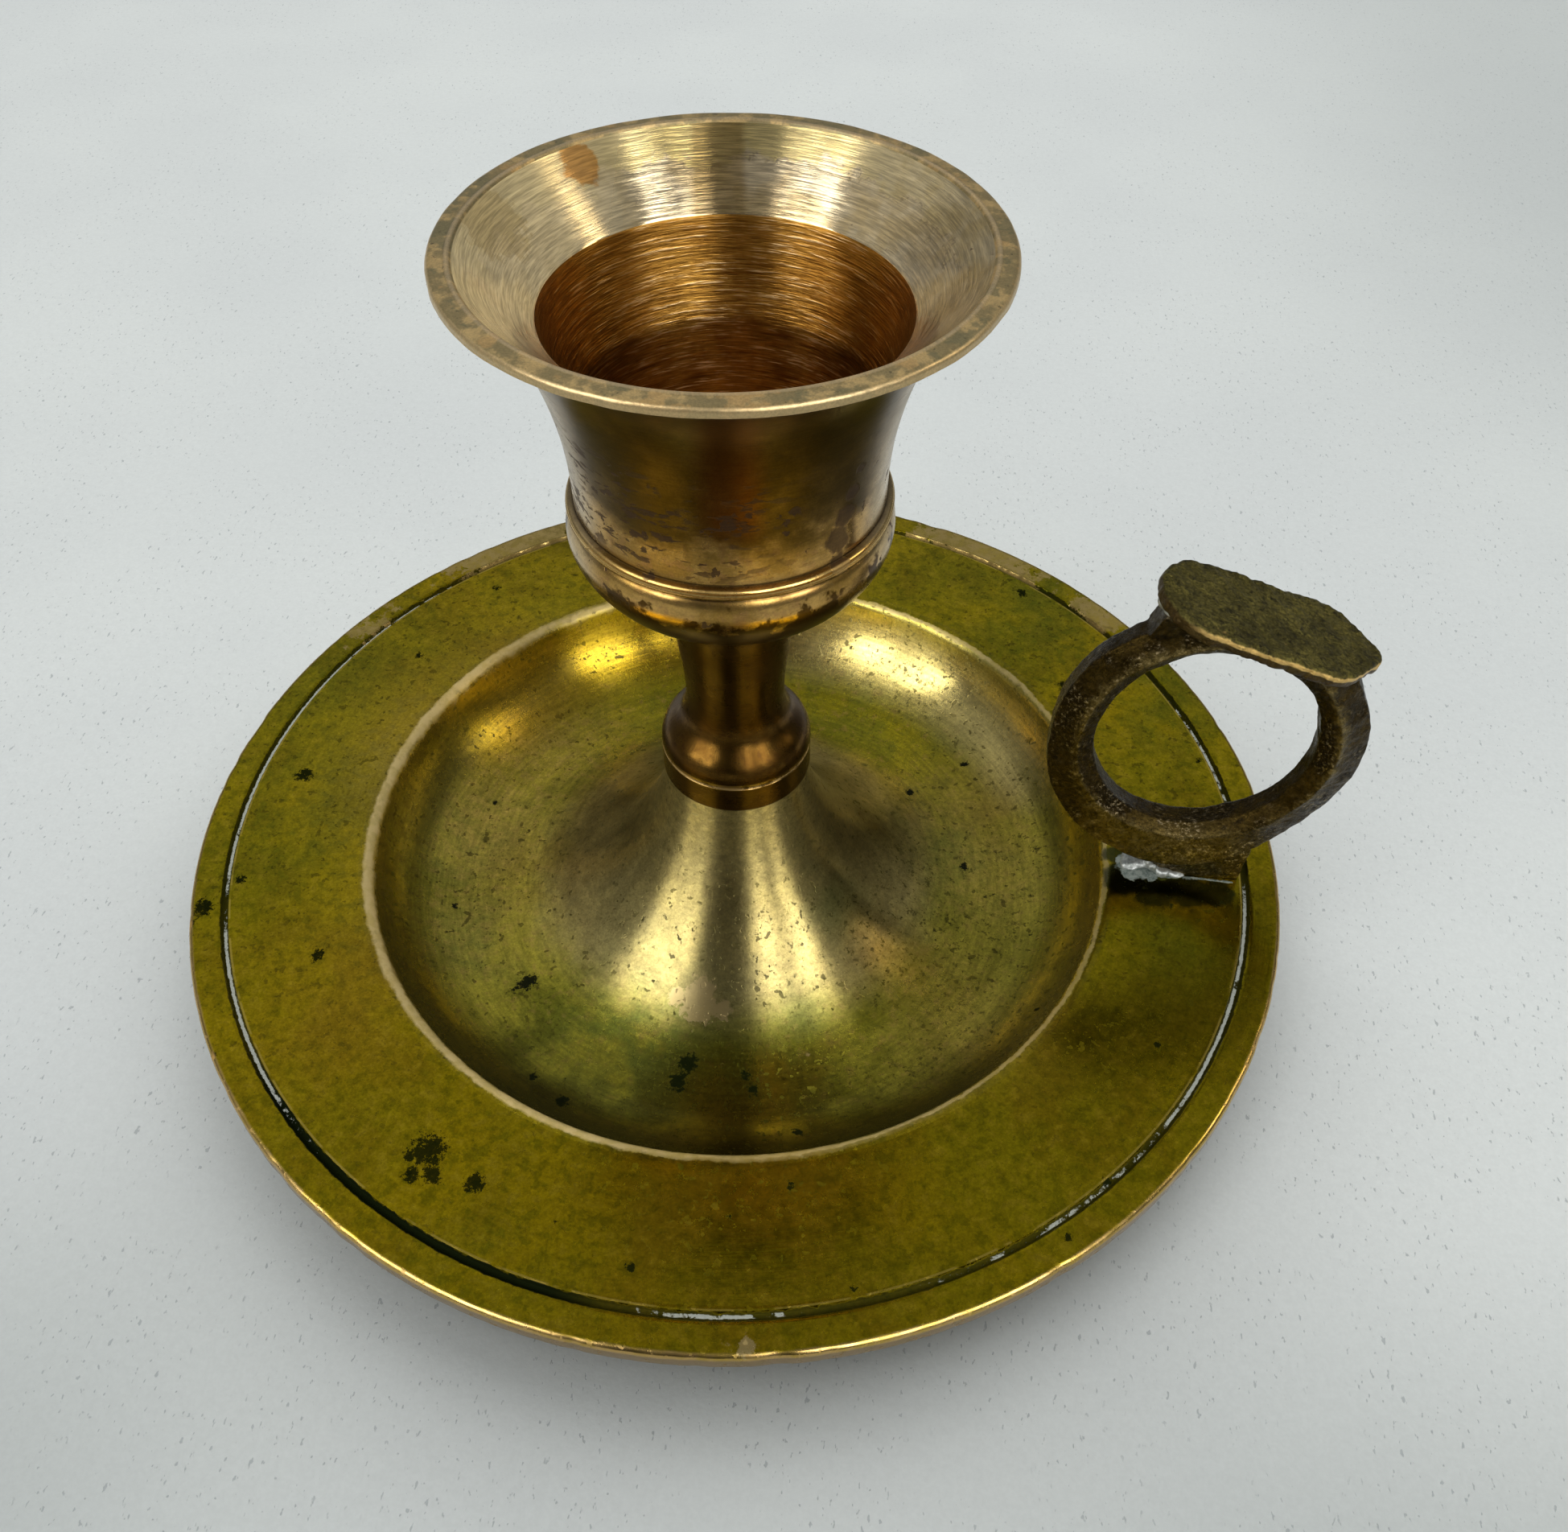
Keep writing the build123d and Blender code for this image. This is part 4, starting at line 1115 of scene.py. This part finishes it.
def table_material():
    g = Graph("pale_grained_table")
    pores = g.noise(1.1, 3, 0.6)
    g.colour = g.pair(g.step(g.noise(0.02, 3, 0.5), 0.3, 0.7), (213, 217, 215), (219, 223, 220))
    # painted shade on the table: darker in front and towards the far right
    front_shade = g.times((g.y, -22, -66), g.ramp(g.size(g.x), 14, 55, 0.35, 0.9))
    far_right_shade = g.times((g.x, 30, 130), (g.y, 20, 160), 0.6)
    g.tint((180, 185, 182), g.most(front_shade, far_right_shade))
    slant = g.vector("MULTIPLY", g.p, (1, 0.45, 1))
    specks = g.times((g.noise(2.4, 2, 0.6, slant), 0.645, 0.69),
                     (g.noise(0.09, 2, 0.5), 0.34, 0.5))
    g.tint((132, 140, 144), specks, 0.5)
    g.shade(0.985, 1.015, pores)
    g.shade(0.985, 1.015, g.noise(2.8, 2, 0.6))
    g.bump(pores, 0.10, 0.35)
    g.bump(g.times(specks, -1), 0.08, 0.5)
    return g.finish(g.blend(pores, 0.5, 0.62), 0)


steel = steel_material()
for node in ("stem_screw", "stem_washer"):
    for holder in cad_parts[node].material_slots:
        holder.material = steel

pan_materials = [pan_material("aged_well_brass", 0.94, 0.12), pan_material("aged_flange_brass", 0.3, 0),
                 under_material()]
cup_materials = [bore_material(), mouth_material(), rim_material(), cup_outside_material()]
dressed = [
    (drip_pan, "drip_pan", "pan_brass", pan_materials),
    (candle_cup, "candle_cup", "cup_brass", cup_materials),
    (baluster_stem, "baluster_stem", "cup_brass", [stem_material()]),
    (finger_ring, "finger_ring", "ring_bronze", [ring_material()]),
    (thumb_plate, "thumb_plate", "plate_bronze", [plate_material()]),
    (plate_solder, "thumb_plate_solder", "solder", [solder_material()]),
    (foot_solder, "ring_foot_solder", "solder", [solder_material()]),
]
for piece, node, slot, materials in dressed:
    for material in materials:
        piece.data.materials.append(material)
    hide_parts(node)
    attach(piece, BODY)

# ---- table, lights and camera: in metres ----------------------------------------------------------
TABLE_HALF = 0.9
bm = bmesh.new()
bmesh.ops.create_grid(bm, x_segments=24, y_segments=24, size=TABLE_HALF)
table = add_solid("table_top", bm)
table.data.materials.append(table_material())

CAMERA_RISE = 49.88
CAMERA_AWAY = 137.3 * MM
CAMERA_LIFT = 9.4 * MM
ROLL, PITCH, YAW = (math.radians(d) for d in (-1.48, -2.25, -1.85))
LENS = 33.285
WINDOW_AWAY = 0.9
WINDOW = 7.4
# name, turn and rise in degrees, width, height
WINDOWS = [("left_outer", -66, 38, 0.22, 0.58), ("left_inner", -47, 40, 0.20, 0.60),
           ("right_inner", 20, 41, 0.20, 0.60), ("right_outer", 45, 40, 0.21, 0.60)]
LEFT_LEVEL, RIGHT_LEVEL = 0.86, 1.04


def from_camera_side(turn, rise, away):
    """A point seen from the pan's axis: turn degrees to the right of the camera's side, rise degrees up."""
    a, e = CAMERA_SIDE + math.radians(turn), math.radians(rise)
    return Vector((math.cos(e) * math.sin(a), -math.cos(e) * math.cos(a), math.sin(e))) * away


def lamp(name, turn, rise, width, height, radiance, away=WINDOW_AWAY, tint=(1, 1, 1)):
    data = bpy.data.lights.new(name, "AREA")
    data.shape = "RECTANGLE"
    data.size, data.size_y = width, height
    data.energy = radiance * width * height * math.pi
    data.color = tint
    obj = add_object(name, data)
    obj.location = from_camera_side(turn, rise, away)
    obj.rotation_euler = (-obj.location).to_track_quat("-Z", "Y").to_euler()
    return obj


for side, turn, rise, width, height in WINDOWS:
    level = WINDOW * (LEFT_LEVEL if turn < 0 else RIGHT_LEVEL)
    lamp("window_" + side, turn, rise, width, height, level).visible_diffuse = False
lamp("window_side", 92, 36, 0.14, 0.36, 5.0, tint=(1, 0.86, 0.62)).visible_diffuse = False
# the room's soft light on the table, most of it from behind and to the right
lamp("room", 158, 56, 2.7, 1.8, 1.19, 1.3).visible_glossy = False
lamp("room_front", -40, 62, 0.9, 0.8, 1.7, 1.2).visible_glossy = False

world = bpy.data.worlds.new("studio")
world.use_nodes = True
backdrop = world.node_tree.nodes["Background"]
backdrop.inputs["Color"].default_value = (0.95, 0.985, 1.0, 1.0)
nodes = Nodes(world.node_tree)
facing = nodes.node("TexCoord", {}).outputs["Generated"]


def room_level(weights, base, low):
    """A radiance that changes evenly with direction and stays above low."""
    return nodes.most(nodes.plus(nodes.vector("DOT_PRODUCT", facing, weights, "Value"), base), low)


# pale walls above the windows' sills, darker below them, overhead and to the right
height = room_level((0, 0, 1), 0.0, 0.0)
walls = nodes.times(room_level((-0.07, 0, -0.72), 0.80, 0.0), (height, 0.42, 0.68))
room = nodes.plus(walls, room_level((-0.05, 0, 0), 0.17, 0.10))
# whoever takes the picture stands dark between the windows
toward = room_level(from_camera_side(-7, 35, 1), 0.0, 0.0)
seen = nodes.times(room, (toward, 0.78, 0.93, 1.0, 0.15))
nodes.feed(backdrop.inputs["Strength"], seen)
bpy.context.scene.world = world
bpy.context.scene.view_settings.view_transform = "Standard"

camera_data = bpy.data.cameras.new("camera")
camera_data.sensor_width = 36
camera_data.lens = LENS
camera_data.clip_start = 0.005
camera = add_object("camera", camera_data)
place = from_camera_side(0, CAMERA_RISE, CAMERA_AWAY)
forward = -place.normalized()
right = Vector((math.cos(CAMERA_SIDE), math.sin(CAMERA_SIDE), 0))
down = -right.cross(forward)
turn = Matrix.Rotation(ROLL, 3, "Z") @ Matrix.Rotation(PITCH, 3, "X") @ Matrix.Rotation(YAW, 3, "Y")
axes = turn @ Matrix((right, down, forward))
basis = Matrix((axes[0], -axes[1], -axes[2])).transposed()
camera.matrix_world = Matrix.Translation(place + Vector((0, 0, CAMERA_LIFT))) @ basis.to_4x4()
bpy.context.scene.camera = camera

bpy.context.view_layer.update()
